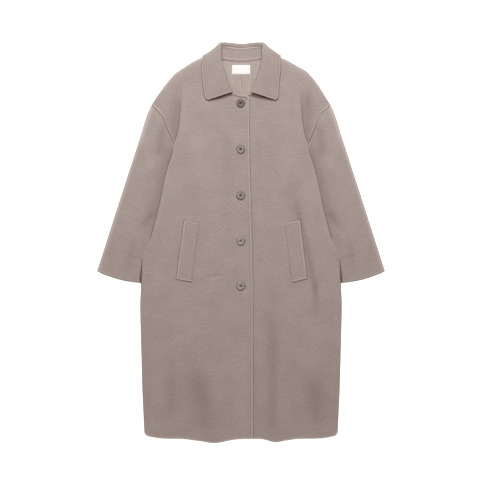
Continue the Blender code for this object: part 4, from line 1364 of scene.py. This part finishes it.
def stand_piece():
    at = np.linspace(-STAND_REACH, STAND_REACH, STAND_SECTIONS)
    sections, on_back = zip(*(stand_section(a, row) for a, row in zip(at, collar_rows(at))))
    grid = np.array(sections)
    low_ridge, high_ridge = hill(STAND_STEPS, *LOW_RIDGE), hill(STAND_STEPS, *HIGH_RIDGE)
    lines = LOW_LINE_SHARE * hill(STAND_STEPS, *LOW_LINE) + hill(STAND_STEPS, *HIGH_LINE)
    rise = STAND_RIDGE * (low_ridge + HIGH_RIDGE_SHARE * high_ridge) - STAND_LINE_DEPTH * lines
    grid[:, :, 2] += np.array(on_back)[:, None] * rise
    shown = 1 - eased(*HIGH_RIDGE_ENDS, np.abs(grid[:, :, 0] - COLLAR_AXIS))
    softer = 1 - ROLL_SOFT * (grid[:, :, 0] < COLLAR_AXIS)
    # Painted light on the band and its ridges, and painted shade in the seam lines and under the roll.
    painted_shading = STAND_PAINTED_LIGHT + LOW_RIDGE_PAINTED_LIGHT * low_ridge + HIGH_RIDGE_PAINTED_LIGHT * high_ridge * shown
    painted_shading = painted_shading - STAND_LINE_PAINTED_SHADE * lines - UNDER_ROLL_PAINTED_SHADE * softer * under_roll_shade(grid)
    piece = cloth_piece("wool_collar_stand", grid, CLOTH, wool, painted_shading, turned=True)
    return dressed(piece, "collar_stand")


collar_stand = stand_piece()

# %% [markdown]
# ## The lining
# Inside the back of the neck a smooth lining shows, paler and warmer than the wool. Its cloth is a fine
# satin, so its grain is a close diagonal line and it has a little gloss. Down its middle runs the pleat that
# gives the shoulders ease: one half is folded over the other, and its fold stands up as a small ridge with a
# painted highlight, beside a line of painted shade. Its creases carry painted light and painted shade, and
# painted shade darkens it beside the collar's roll.

# %% Lining
LINING = 1.0
LINING_LOW = 1028.0
LINING_WIDTHS = (Edge(1028, 44), Edge(1060, 48), Edge(1100, 66), Edge(1150, 80))
LINING_BELOW_NECK = 4.0
LINING_SHARES = (0, 0.006, 0.012, 0.02, 0.03, 0.04, 0.05, 0.065)
LINING_SIDE_SHARES = (0, 0.02)
LINING_STEP = 0.03
LINING_ROWS = 50
CREASE_SINKS = 0.2
# Painted light and shade on the creases, a painted highlight on the pleat's fold and a painted shade line
# beside it.
CREASES_PAINTED_LIGHT = 0.5
PLEAT_STEP = 1.1
PLEAT_RUN = 15.0
PLEAT_EDGE = 0.9
PLEAT_RIDGE = 0.4
PLEAT_PAINTED_LIGHT = 0.6
PLEAT_LINE = (2.2, 1.3)
PLEAT_PAINTED_SHADE = 0.5
PLEAT_UPS = (1046.0, 1052.0, 1074.0, 1088.0)
PLEAT_LINE_UPS = (1058.0, 1070.0, 1094.0, 1106.0)
LINING_CREASES = (
    Fold(-34, 1118, -20, 1060, 5, 0.5), Fold(30, 1112, 22, 1050, 6, 0.5), Fold(-58, 1138, -40, 1112, 5, 0.4),
    Fold(46, 1136, 34, 1104, 5, -0.4), Fold(12, 1070, 30, 1048, 5, 0.4),
)
PLEAT_FOLD = (1.4, 1.4)
SATIN = rgb(0.352, 0.297, 0.267)
SATIN_DARK = rgb(0.311, 0.252, 0.219)
SATIN_LIT = rgb(0.48, 0.42, 0.38)
SATIN_SHADED = rgb(0.16, 0.124, 0.102)


def lining_material(name):
    material, start, shader = started(name)
    place = start.on_cloth()
    twill = place.stretched((1.0, 0.12, 1.0), math.radians(28)).noise(2600, 1.0, 0.4)
    clouds = place.noise(40, 2.0, 0.5)
    colour = (0.55 * twill + 0.45 * clouds).between(0.3, 0.7).mixed(SATIN_DARK, SATIN)
    colour = with_painted_shading(start.painted_shading(), colour, SATIN_LIT, SATIN_SHADED)
    feed(shader, Base_Color=colour, Roughness=0.44 + 0.14 * clouds, Normal=twill.bump(0.25, 0.0003))
    feed(shader, Sheen_Weight=0.1, Specular_IOR_Level=0.4)
    return material


@cache
def surface_of(piece):
    """The piece's outer face, for laying other pieces on it."""
    mesh = bmesh.new()
    mesh.from_mesh(piece.data)
    tree = BVHTree.FromBMesh(mesh)
    mesh.free()
    return tree


def top_under(tree, x, up):
    """The height of that face, in millimetres, at a place on the coat."""
    start = Vector(placed((x, up, 1000)))
    return tree.ray_cast(start, Vector((0, 0, -1)))[0].z / MM


def lying_on(tree, plan, lift):
    """Plan points (x, up) laid on a face, this far above it."""
    heights = [[top_under(tree, x, up) + lift for x, up in row] for row in plan]
    return np.concatenate([plan, np.array(heights)[:, :, None]], axis=2)


def lining_piece():
    half = spread_out(1.0, LINING_SHARES, LINING_SIDE_SHARES, LINING_STEP)
    share = np.concatenate([-half[:0:-1], half])
    top = up_at(BACK_NECK, np.abs(share) * LINING_WIDTHS[-1].out) - LINING_BELOW_NECK
    plan = []
    for q in np.linspace(0, 1, LINING_ROWS):
        up = LINING_LOW + (top - LINING_LOW) * q
        plan.append(np.column_stack([share * out_at(LINING_WIDTHS, up), up]))
    grid = lying_on(surface_of(back), np.array(plan), GAP + LINING)
    x, up = grid[:, :, 0], grid[:, :, 1]
    pleat = eased(-PLEAT_RUN, 0, x) * (1 - eased(0.0, PLEAT_EDGE, x))
    shown, ridge = window(PLEAT_UPS, up), hill(-x, *PLEAT_FOLD)
    creases = fold_rise(LINING_CREASES, x, up)
    # Painted highlight on the pleat's fold, painted light and shade on the creases, and painted shade beside
    # the roll and along the pleat's line.
    painted_shading = PLEAT_PAINTED_LIGHT * shown * ridge - UNDER_ROLL_PAINTED_SHADE * under_roll_shade(grid) + CREASES_PAINTED_LIGHT * creases
    painted_shading -= PLEAT_PAINTED_SHADE * window(PLEAT_LINE_UPS, up) * hill(x, *PLEAT_LINE)
    grid[:, :, 2] += shown * (PLEAT_STEP * pleat + PLEAT_RIDGE * ridge)
    grid[:, :, 2] += np.maximum(creases, -CREASE_SINKS)
    piece = cloth_piece("satin_neck_lining", grid, LINING, lining_material("satin_lining"), painted_shading)
    return dressed(piece, "neck_lining")


neck_lining = lining_piece()

# %% [markdown]
# ## The label
# A small white label is sewn inside the neck. It is a woven tape, so its surface has fine ribs both ways,
# and its edges are turned under. It is left blank.

# %% Label
LABEL = 0.8
LABEL_SIZE = (54.6, 28.0)
LABEL_PLACE = (0.3, 1118.8)
TAPE = rgb(0.74, 0.74, 0.73)
TAPE_DARK = rgb(0.60, 0.60, 0.59)
TAPE_RIBS = 1500.0
TURNED_STEPS = (0, 0.7, 1.4, 2.2, 3.2)
LABEL_STEP = 2.0
LABEL_RISE = 0.35
TURNED_UNDER = (1.4, 3.2)
LABEL_SEAM = (1.6, 0.7)
LABEL_SEAM_DEPTH = 0.2


def label_material(name):
    material, start, shader = started(name)
    place = start.on_cloth()
    ways = [start.node("ShaderNodeSeparateXYZ", {}, {"Vector": place}, output=way) for way in "XY"]
    warp, weft = (start.maths("SINE", way * (TAPE_RIBS * math.tau)) for way in ways)
    ribs = 0.5 + 0.25 * warp + 0.25 * weft
    soil = place.noise(90, 3.0, 0.5)
    colour = (0.5 * ribs + 0.5 * soil).between(0.1, 0.6).mixed(TAPE_DARK, TAPE)
    feed(shader, Base_Color=colour, Roughness=0.6 + 0.15 * soil, Specular_IOR_Level=0.35)
    feed(shader, Normal=ribs.bump(0.3, 0.0002))
    return material


def label_piece():
    width, height = LABEL_SIZE
    across = spread_out(width, TURNED_STEPS, TURNED_STEPS, LABEL_STEP) - width / 2
    upward = spread_out(height, TURNED_STEPS, TURNED_STEPS, LABEL_STEP) - height / 2
    plan = np.stack(np.meshgrid(across + LABEL_PLACE[0], upward + LABEL_PLACE[1]), axis=2)
    grid = lying_on(surface_of(neck_lining), plan, GAP + LABEL)
    inside = np.minimum.outer(height / 2 - np.abs(upward), width / 2 - np.abs(across))
    grid[:, :, 2] += LABEL_RISE * eased(*TURNED_UNDER, inside) - LABEL_SEAM_DEPTH * hill(inside, *LABEL_SEAM)
    piece = cloth_piece("tape_label", grid, LABEL, label_material("woven_tape"), np.zeros(inside.shape))
    return dressed(piece, "label")


label = label_piece()

# %% [markdown]
# ## The pocket welts
# Each pocket is closed by a welt, a strip of the same wool that leans outwards at its foot. The outer long
# side is the opening and stands off the coat, the ends are sewn down in a soft rim, and the inner long side
# runs into the coat in a seam. A painted highlight lightens the rim at the ends and the mouth, and painted
# shade darkens the seam's line. It lies on its front, so its height comes from the front's own face.

# %% Welts
WELT = 2.2
Pocket = namedtuple("Pocket", "name x up lean end_lean")
POCKETS = (
    Pocket("welt_right", -159.0, 576.0, 7.8, -3.6),
    Pocket("welt_left", 164.2, 576.0, -6.8, 6.4),
)
WELT_SIZE = (46.5, 177.5)
WELT_OPENS = 1.0
WELT_RIM = (2.2, 3.0)
WELT_RIM_HEIGHT = 0.5
# Painted highlight on the rim, and painted shade in the seam line.
WELT_PAINTED_LIGHT = 0.52
WELT_STEPS = (3.0, 4.0)
MOUTH_REACH = 16.0
MOUTH_STARTS = 60.0
WELT_SEAM = (0.0, 3.0)
WELT_SEAM_DEPTH = 0.7
WELT_SEAM_LINE = (0.0, 1.5)
WELT_SEAM_PAINTED_SHADE = 0.45


def welt_plan(pocket, across, length):
    """Plan points of a welt, from places across and along it."""
    lean = math.radians(pocket.lean)
    length = length + across * math.tan(math.radians(pocket.end_lean))
    x = pocket.x + across * math.cos(lean) + length * math.sin(lean)
    up = pocket.up - across * math.sin(lean) + length * math.cos(lean)
    return np.stack([x, up], axis=-1)


def welt_piece(pocket, front):
    width, height = WELT_SIZE
    outer = -math.copysign(1, pocket.lean)
    across = spread_out(width, RIM_STEPS, RIM_STEPS, WELT_STEPS[0]) - width / 2
    length = spread_out(height, RIM_STEPS, RIM_STEPS, WELT_STEPS[1]) - height / 2
    grid = lying_on(surface_of(front), welt_plan(pocket, *np.meshgrid(across, length)), GAP + WELT)
    from_outer = width / 2 - outer * across
    from_inner = width - from_outer
    from_end = (height / 2 - np.abs(length))[:, None]
    opens = WELT_OPENS * (1 - eased(0, MOUTH_REACH, from_outer))
    opens = opens * np.sin(np.pi * eased(0, MOUTH_STARTS, from_end))
    rim = hill(np.minimum(from_end, from_outer[None, :]), *WELT_RIM)
    grid[:, :, 2] += WELT_RIM_HEIGHT * rim + opens - WELT_SEAM_DEPTH * hill(from_inner, *WELT_SEAM)
    # Painted highlight on the rim, and painted shade in the seam line.
    painted_shading = WELT_PAINTED_LIGHT * rim - WELT_SEAM_PAINTED_SHADE * hill(from_inner, *WELT_SEAM_LINE)
    piece = cloth_piece(f"wool_{pocket.name}", grid, WELT, wool, painted_shading)
    return dressed(piece, pocket.name)


welt_right = welt_piece(POCKETS[0], front_right)
welt_left = welt_piece(POCKETS[1], front_left)

# %% [markdown]
# ## Painted shadow lines on the fronts
# Where a collar edge, a pocket's mouth or end, or the other front lies on a front, a narrow line of painted
# shadow is drawn, where hardly any light comes under the edge; so are the armpit's crease, the slit beside
# the sleeve and the buttonholes. It is much thinner than the sheet's own grid, so it is drawn by the front's
# material, as straight lines on the cloth's map, which is the plan of the coat. Under the collar's ends,
# where the collar stands up from the front, the line widens to a deep painted shadow.

# %% Lines on the fronts
BUTTON_X = -1.0
# A button's height, its buttonhole's eye, its own darker tone, and how much painted shade lies on its rim and
# in its well.
Button = namedtuple("Button", "up eye dark rim_dark well_dark")
BUTTONS = (
    Button(1018.4, 11.0, 0.58, 0.95, 0.95),
    Button(880.6, 11.0, 0.14, 0.85, 0.7),
    Button(742.6, 11.0, 0.16, 0.88, 0.75),
    Button(606.1, 12.6, 0.06, 0.45, 0.5),
    Button(471.6, 13.6, 0.04, 0.6, 0.6),
)
Line = namedtuple("Line", "first last widths dark")
Style = namedtuple("Style", "width dark")
# Width and darkness of each kind of painted shadow line.
COLLAR_SHADOW_LINE = Style(2.6, 0.4)
MOUTH_SHADOW_LINE = Style(3.2, 0.46)
EDGE_SHADOW_LINE = Style(2.4, 0.4)
WELT_END_SHADOW_LINE = Style(2.6, 0.36)
SLIT_SHADOW_LINE = Style(4.0, 0.8)
CREASE_SHADOW_STYLE = Style(2.0, 0.22)
HOLE_SHADOW_LINE = Style(1.5, 0.9)
END_WIDTHS = (2.0, 4.2, 1.2)
END_BELOW = 1.0
END_SHADOW_DARK = 0.9
EDGE_LINE_UPS = (14.0, 200.0, 400.0, 560.0, 720.0, 880.0, 1030.0)
SLIT_UPS = (481.0, 512.0, 548.0)
CREASE_LINE_UPS = (900.0, 925.0, 950.0, 980.0, 1010.0, 1032.0)
COLLAR_LINE_AT = np.linspace(5.2, 9.3, 8)
CREASE_END = 0.6
SLIT_END = 1.0


def on_map(place):
    """A place on the coat, on the cloth's map of a front."""
    return (place[0] * MM, place[1] * MM, 0.0)


def drawn_shadows(places, widths, dark):
    """Painted shadow lines from place to place, which are this wide at each."""
    spans = zip(places, places[1:], widths, widths[1:])
    return [Line(on_map(a), on_map(b), (wide * MM, end * MM), dark) for a, b, wide, end in spans]


def even_shadows(places, style, end=None):
    """Painted shadow lines in one style, which may narrow or widen at the last place."""
    widths = [style.width] * (len(places) - 1) + [end or style.width]
    return drawn_shadows(places, widths, style.dark)


def edge_line(rows):
    """The collar's outer edge in plan, as points (x, up)."""
    return np.array([(row.edge_out + COLLAR_AXIS, row.edge_up) for row in rows])


def edge_places(table, side, ups):
    """Places on a table's curve, at these heights."""
    return [(side * float(out_at(table, up)), up) for up in ups]


def front_shadow_lines(side, pocket):
    """The painted shadow lines of a front: at the collar, the pocket, the arm's crease and the sleeve's slit.
    """
    lines = even_shadows(edge_line(collar_rows(side * COLLAR_LINE_AT)), COLLAR_SHADOW_LINE)
    last = collar_rows(np.array([side * COLLAR_END]))
    roll, corner = roll_line(last)[0] - (0, END_BELOW), edge_line(last)[0] - (0, END_BELOW)
    lines += drawn_shadows([roll, (roll + corner) / 2, corner], END_WIDTHS, END_SHADOW_DARK)
    half_width, half_length = WELT_SIZE[0] / 2, WELT_SIZE[1] / 2
    ends = np.array([-1, 1])
    outer = -math.copysign(half_width, pocket.lean)
    lines += even_shadows(welt_plan(pocket, outer, ends * half_length), MOUTH_SHADOW_LINE)
    lines += even_shadows(welt_plan(pocket, ends * half_width, half_length), WELT_END_SHADOW_LINE)
    lines += even_shadows(edge_places(CREASE, side, CREASE_LINE_UPS), CREASE_SHADOW_STYLE, CREASE_END)
    return lines + even_shadows(edge_places(SIDE_EDGE, side, SLIT_UPS), SLIT_SHADOW_LINE, SLIT_END)


for front, side, pocket in ((front_right, -1, POCKETS[0]), (front_left, 1, POCKETS[1])):
    lines = front_shadow_lines(side, pocket)
    if front == front_left:
        lines += even_shadows(edge_places(TOP_FRONT_PASS, 1, EDGE_LINE_UPS), EDGE_SHADOW_LINE)
    else:
        for button in BUTTONS:
            lines += even_shadows([(0.0, button.up), (button.eye, button.up)], HOLE_SHADOW_LINE)
    front.data.materials[0] = wool_material(f"felted_{front.name}", lines)
    print(f"{front.name}: {len(lines)} dark lines")

# %% [markdown]
# ## Horn buttons
# The buttons are turned from horn: a rounded rim, a dished middle and four holes. A profile is spun once
# round its axis, and a Boolean drills the holes. Horn is greyish brown with paler streaks and takes a
# polish, so its material is a stretched noise under a clear coat. An attribute holds each button's own tone
# and the painted shade on its rim and in the well with the holes. No two buttons are alike, and the top one
# is the darkest.

# %% Buttons
BUTTON_SIDES = 72
Turned = namedtuple("Turned", "radius height")
BUTTON_PROFILE = (
    Turned(0, 0), Turned(9.6, 0), Turned(10.8, 0.25), Turned(11.8, 0.8), Turned(12.3, 1.4), Turned(12.5, 1.9),
    Turned(12.3, 2.4), Turned(11.7, 2.95), Turned(10.9, 3.4), Turned(10.1, 3.65), Turned(9.4, 3.6),
    Turned(8.9, 3.25), Turned(8.4, 3.0), Turned(7.8, 3.05), Turned(7.0, 3.3), Turned(6.1, 3.4),
    Turned(5.3, 3.15), Turned(4.6, 2.7), Turned(4.1, 2.35), Turned(3.4, 2.25), Turned(0, 2.25),
)
HOLE_RADIUS = 1.1
HOLE_OFFSET = 2.1
HOLE_SIDES = 16
PEG_DEPTH = 20.0
HORN = rgb(0.230, 0.197, 0.188)
HORN_PALE = rgb(0.37, 0.335, 0.322)
# Colour of the painted shade on the rim and in the well.
HORN_PAINTED_SHADE = rgb(0.062, 0.036, 0.025)
RIM_STARTS = (10.3, 12.0)
WELL_ENDS = (3.6, 5.0)
BUTTON_TURN = 0.5
STREAK_TURN = math.radians(35)


def horn_material(name):
    material, start, shader = started(name)
    place = start.in_object()
    streaks = place.stretched((1.0, 0.22, 1.0), STREAK_TURN).noise(260, 4.0, 0.6)
    fine = place.stretched((1.0, 0.1, 1.0), STREAK_TURN).noise(1400, 2.0, 0.5)
    colour = (0.75 * streaks + 0.25 * fine).between(0.42, 0.66).mixed(HORN, HORN_PALE)
    # The attribute mixes in painted shade, on the rim and in the well.
    dark = start.painted_shading()
    feed(shader, Base_Color=dark.mixed(colour, HORN_PAINTED_SHADE), Roughness=0.3 + 0.2 * streaks + 0.3 * dark)
    feed(shader, Coat_Weight=0.25 - 0.25 * dark, Coat_Roughness=0.16, Specular_IOR_Level=0.3)
    feed(shader, Normal=fine.bump(0.12, 0.0001))
    return material


def turned_mesh(profile, sides):
    """A profile of radii and heights, spun once round the upright axis."""
    mesh = bmesh.new()
    verts = [mesh.verts.new((row.radius * MM, 0, row.height * MM)) for row in profile]
    edges = [mesh.edges.new(pair) for pair in zip(verts, verts[1:])]
    bmesh.ops.spin(
        mesh, geom=verts + edges, cent=(0, 0, 0), axis=(0, 0, 1),
        angle=math.tau, steps=sides, use_merge=True,
    )
    bmesh.ops.remove_doubles(mesh, verts=mesh.verts, dist=WELD)
    bmesh.ops.recalc_face_normals(mesh, faces=mesh.faces)
    return mesh


def thread_holes():
    """The four pegs that drill a button."""
    mesh = bmesh.new()
    for sign_x in (-1, 1):
        for sign_y in (-1, 1):
            offset = Matrix.Translation(Vector((sign_x, sign_y, 0)) * HOLE_OFFSET * MM)
            bmesh.ops.create_cone(
                mesh, cap_ends=True, segments=HOLE_SIDES, depth=PEG_DEPTH * MM,
                radius1=HOLE_RADIUS * MM, radius2=HOLE_RADIUS * MM, matrix=offset,
            )
    return finished("thread_holes", mesh, None)


def drilled_button(material):
    """One button at the origin, with its holes, as a mesh."""
    blank = finished("button_blank", turned_mesh(BUTTON_PROFILE, BUTTON_SIDES), material)
    pegs = thread_holes()
    cut = blank.modifiers.new("holes", "BOOLEAN")
    cut.operation = "DIFFERENCE"
    cut.object = pegs
    bpy.context.view_layer.update()
    graph = bpy.context.evaluated_depsgraph_get()
    drilled = bpy.data.meshes.new_from_object(blank.evaluated_get(graph))
    bpy.data.objects.remove(blank)
    bpy.data.objects.remove(pegs)
    return drilled


def button_seat(button, height=0.0):
    """The place of a button on the front, or a height above its underside."""
    seat = top_under(surface_of(front_right), BUTTON_X, button.up) + GAP + height
    return Vector(placed((BUTTON_X, button.up, seat)))


def button_piece(node, button, pattern, turn):
    """One button, with its own tone and its painted shade on the rim and in the well, turned and seated on
    the front.
    """
    mesh = bmesh.new()
    mesh.from_mesh(pattern)
    layer = mesh.verts.layers.float.new(PAINTED_SHADING_ATTRIBUTE)
    for vert in mesh.verts:
        # Painted shade on the rim and in the well, over the button's own tone.
        radius = vert.co.xy.length / MM
        in_well = button.well_dark * (1 - eased(*WELL_ENDS, radius))
        dark = max(button.rim_dark * eased(*RIM_STARTS, radius), in_well)
        vert[layer] = dark + (1 - dark) * button.dark
    bmesh.ops.rotate(mesh, verts=mesh.verts, cent=(0, 0, 0), matrix=Matrix.Rotation(turn, 3, "Z"))
    bmesh.ops.translate(mesh, verts=mesh.verts, vec=button_seat(button))
    dressed(finished(f"horn_{node}", mesh, pattern.materials[0]), node)


horn_button = drilled_button(horn_material("dark_horn"))
for number, button in enumerate(BUTTONS, start=1):
    button_piece(f"button_{number}", button, horn_button, BUTTON_TURN * number)

# %% [markdown]
# ## Button thread
# Each button is sewn through its four holes with two bars of dark thread, three strands each. A strand is a
# small ring of points, spun half a turn from one hole to the next and then pressed flat.

# %% Thread
STRAND = 0.34
STRAND_STEP = 0.52
STRAND_ARCH = 0.42
STRAND_TURNS = 8
THREAD_SIDES = 6
THREAD_DARK = rgb(0.045, 0.028, 0.022)
THREAD_PALE = rgb(0.12, 0.088, 0.074)


def thread_material(name, dark, pale):
    material, start, shader = started(name)
    place = start.in_object()
    twist = place.stretched((1.0, 0.4, 1.0), math.radians(40)).noise(2200, 2.0, 0.5)
    feed(shader, Base_Color=twist.between(0.35, 0.65).mixed(dark, pale), Roughness=0.6 + 0.2 * twist)
    feed(shader, Normal=twist.bump(0.4, 0.0002), Sheen_Weight=0.2)
    return material


def thread_ring(mesh, radius, start):
    """A small circle of points and its edges, ready to be spun into thread."""
    verts = bmesh.ops.create_circle(
        mesh, cap_ends=False, radius=radius * MM, segments=THREAD_SIDES, matrix=start,
    )["verts"]
    return verts + list(dict.fromkeys(edge for vert in verts for edge in vert.link_edges))


def strand(mesh, x):
    """One strand over the button's middle, from the hole below it to the one above."""
    ring = thread_ring(mesh, STRAND, Matrix.Translation(Vector((x, -HOLE_OFFSET, 0)) * MM))
    bmesh.ops.spin(mesh, geom=ring, cent=(0, 0, 0), axis=(-1, 0, 0), angle=math.pi, steps=STRAND_TURNS)


def button_thread(material):
    """The thread of all the buttons, as one piece."""
    mesh = bmesh.new()
    for button in BUTTONS:
        one = bmesh.new()
        for bar in (-1, 1):
            for side in (-1, 0, 1):
                strand(one, bar * HOLE_OFFSET + side * STRAND_STEP)
        bmesh.ops.scale(one, verts=one.verts, vec=(1, 1, STRAND_ARCH))
        seat = button_seat(button, BUTTON_PROFILE[-1].height)
        bmesh.ops.translate(one, verts=one.verts, vec=seat)
        data = bpy.data.meshes.new("one_thread")
        one.to_mesh(data)
        one.free()
        mesh.from_mesh(data)
        bpy.data.meshes.remove(data)
    bmesh.ops.recalc_face_normals(mesh, faces=mesh.faces)
    dressed(finished("button_thread", mesh, material))


button_thread(thread_material("brown_thread", THREAD_DARK, THREAD_PALE))

# %% [markdown]
# ## Buttonholes
# A button hides its buttonhole but for the outer end, which shows beside some of them as a small dark eye. It
# is sewn round with thread, so each end is a ring of thread: a small circle, spun once round. The thread is
# coloured near-black red-brown as painted shade, for the dark of the hole.

# %% Buttonholes
EYE_RADIUS = 1.5
EYE_THREAD = 0.6
EYE_STEPS = 12
# Near-black thread colours, as painted shade for the dark of the hole.
EYE_SHADE_DARK = rgb(0.045, 0.012, 0.008)
EYE_SHADE_PALE = rgb(0.100, 0.033, 0.024)


def buttonhole_piece(material):
    """The outer ends of all the buttonholes, as one piece."""
    tree = surface_of(front_right)
    upright = Matrix.Rotation(math.pi / 2, 4, "X")
    mesh = bmesh.new()
    for button in BUTTONS:
        seat = Vector(placed((button.eye, button.up, top_under(tree, button.eye, button.up))))
        start = Matrix.Translation(seat + Vector((EYE_RADIUS * MM, 0, 0))) @ upright
        bmesh.ops.spin(
            mesh, geom=thread_ring(mesh, EYE_THREAD, start), cent=seat, axis=(0, 0, 1),
            angle=math.tau, steps=EYE_STEPS, use_merge=True,
        )
    bmesh.ops.recalc_face_normals(mesh, faces=mesh.faces)
    dressed(finished("buttonhole_thread", mesh, material))


buttonhole_piece(thread_material("buttonhole_eye_shade_thread", EYE_SHADE_DARK, EYE_SHADE_PALE))

# %% [markdown]
# ## Edge stitches
# The rims of such a coat are sewn by hand, with small stitches in thread of the wool's own colour that sink
# into its nap. Each is a flat bead that lies along its groove, on the cloth below it. Every row is a line of
# plan points at the rim's width inside an edge: the front edge and neckline, the collar and the welts.

# %% Stitches
STITCH = (1.5, 0.55, 0.3)
STITCH_PITCH = 6.0
STITCH_DARK = rgb(0.215, 0.170, 0.151)
STITCH_PALE = rgb(0.310, 0.256, 0.236)
FRONT_STITCH_UPS = np.linspace(30, 1026, 80)
NECK_STITCH_OUTS = (-14.0, 24.0)
END_INSET = 2.0
COLLAR_STITCH_AT = np.linspace(5.6, COLLAR_END - 0.3, 50)
END_STITCH_SHARES = np.linspace(0.12, 0.95, 20)


def stitch_row(mesh, piece, line):
    """Stitches along a line of plan points (x, up), seated on a piece."""
    tree = surface_of(piece)
    run = length_of(line)
    for at in np.arange(STITCH_PITCH / 2, run[-1] - 1, STITCH_PITCH):
        (x, next_x), (up, next_up) = (np.interp((at, at + 1), run, line[:, k]) for k in (0, 1))
        seat = Vector(placed((x, up, top_under(tree, x, up))))
        turn = Euler((0, 0, math.atan2(next_up - up, next_x - x)))
        shape = Matrix.LocRotScale(seat, turn, Vector(STITCH) * MM)
        bmesh.ops.create_uvsphere(mesh, u_segments=6, v_segments=4, radius=1, matrix=shape)


def front_rows():
    """The rows along the front edge and the neckline of the front on top."""
    x = out_at(TOP_FRONT_PASS, FRONT_STITCH_UPS) - FRONT_RIM
    yield front_right, np.column_stack([x, as_laid(x, FRONT_STITCH_UPS)])
    neck = path(FRONT_NECK, np.linspace(0, 1, PATH_POINTS))
    neck = neck[(neck[:, 0] > NECK_STITCH_OUTS[0]) & (neck[:, 0] < NECK_STITCH_OUTS[1])]
    neck = neck * (-1, 1)
    yield front_right, np.column_stack([neck[:, 0], neck[:, 1] - neck_rim(neck[:, 0])])


def collar_stitch_rows(side):
    """The rows along a wing's outer edge and its end."""
    rows = collar_rows(side * COLLAR_STITCH_AT)
    edge, roll = edge_line(rows), roll_line(rows)
    way = roll - edge
    way = way / np.linalg.norm(way, axis=1)[:, None]
    yield collar_fall, edge + RIM_WIDTH * way
    ends = edge[-1] + np.outer(END_STITCH_SHARES, roll[-1] - edge[-1])
    aside = np.array([-way[-1, 1], way[-1, 0]])
    yield collar_fall, ends + (RIM_WIDTH - END_INSET) * aside * math.copysign(1, aside[1])


def welt_stitch_rows(pocket, welt):
    """The rows along a welt's ends and its mouth."""
    across, length = WELT_SIZE[0] / 2 - RIM_WIDTH, WELT_SIZE[1] / 2 - RIM_WIDTH
    outer = -math.copysign(1, pocket.lean)
    yield welt, welt_plan(pocket, outer * across, np.linspace(-length, length, 40))
    for end in (-length, length):
        yield welt, welt_plan(pocket, np.linspace(-across, across, 10), end)


def stitched_piece(rows, material):
    """All the rows of stitches, as one piece."""
    mesh = bmesh.new()
    for piece, line in rows:
        stitch_row(mesh, piece, line)
    dressed(finished("edge_stitches", mesh, material))


stitch_rows = [*front_rows(), *collar_stitch_rows(-1), *collar_stitch_rows(1)]
stitch_rows += [*welt_stitch_rows(POCKETS[0], welt_right), *welt_stitch_rows(POCKETS[1], welt_left)]
stitched_piece(stitch_rows, thread_material("wool_thread", STITCH_DARK, STITCH_PALE))

# %% [markdown]
# Every sheet says how large it was cut, and what it lies on, and its area is printed beside the area of its
# flat piece. The label and the welts are plain rectangles. The others are cut to shape, so the table also has
# their areas, in square metres.

# %% Sheets
Cut = namedtuple("Cut", "piece flat area held rests_on")
CUTS = (
    Cut(back, (0.61, 1.165), 0.590, "laid", ["floor"]),
    Cut(front_right, (0.345, 1.165), 0.331, "laid", [back, front_left]),
    Cut(front_left, (0.345, 1.165), 0.327, "laid", [back]),
    Cut(sleeve_right, (0.30, 0.56), 0.115, "folded", ["floor"]),
    Cut(sleeve_left, (0.30, 0.56), 0.115, "folded", ["floor"]),
    Cut(collar_fall, (0.50, 0.11), 0.042, "folded", [front_right, front_left]),
    Cut(collar_stand, (0.40, 0.045), 0.0114, "folded", [back]),
    Cut(neck_lining, (0.162, 0.13), 0.0145, "laid", [back]),
    Cut(label, (0.0546, 0.028), None, "laid", [neck_lining]),
    Cut(welt_right, (0.0475, 0.1775), None, "laid", [front_right]),
    Cut(welt_left, (0.0475, 0.1775), None, "laid", [front_left]),
)
for cut in CUTS:
    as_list(cut.rests_on)
    area = sum(polygon.area for polygon in cut.piece.data.polygons)
    print(f"{cut.piece.name}: {area:.4f} square metres, cut as {cut.area or cut.flat[0] * cut.flat[1]:.4f}")

# %% [markdown]
# ## The floor
# A plain pale floor under the coat, a little below it so that the two don't share a face. It is a light
# table, which glows a little, so that hardly any shadow shows round the coat.

# %% Floor
FLOOR_SIZE = 9.0
FLOOR_BELOW = 0.4
PALE = rgb(0.93, 0.93, 0.93)
FLOOR_GLOW = 0.75


def floor_piece():
    material, start, shader = started("pale_floor")
    place = start.in_object()
    grain = place.noise(6, 2.0, 0.5)
    feed(shader, Base_Color=PALE, Roughness=0.75 + 0.2 * grain)
    feed(shader, Emission_Color=PALE, Emission_Strength=FLOOR_GLOW)
    mesh = bmesh.new()
    bmesh.ops.create_grid(mesh, x_segments=1, y_segments=1, size=FLOOR_SIZE / 2)
    bmesh.ops.translate(mesh, verts=mesh.verts, vec=(0, 0, cad_low.z - FLOOR_BELOW * MM))
    finished("floor", mesh, material)
    print(f"floor {FLOOR_SIZE} m wide")


floor_piece()
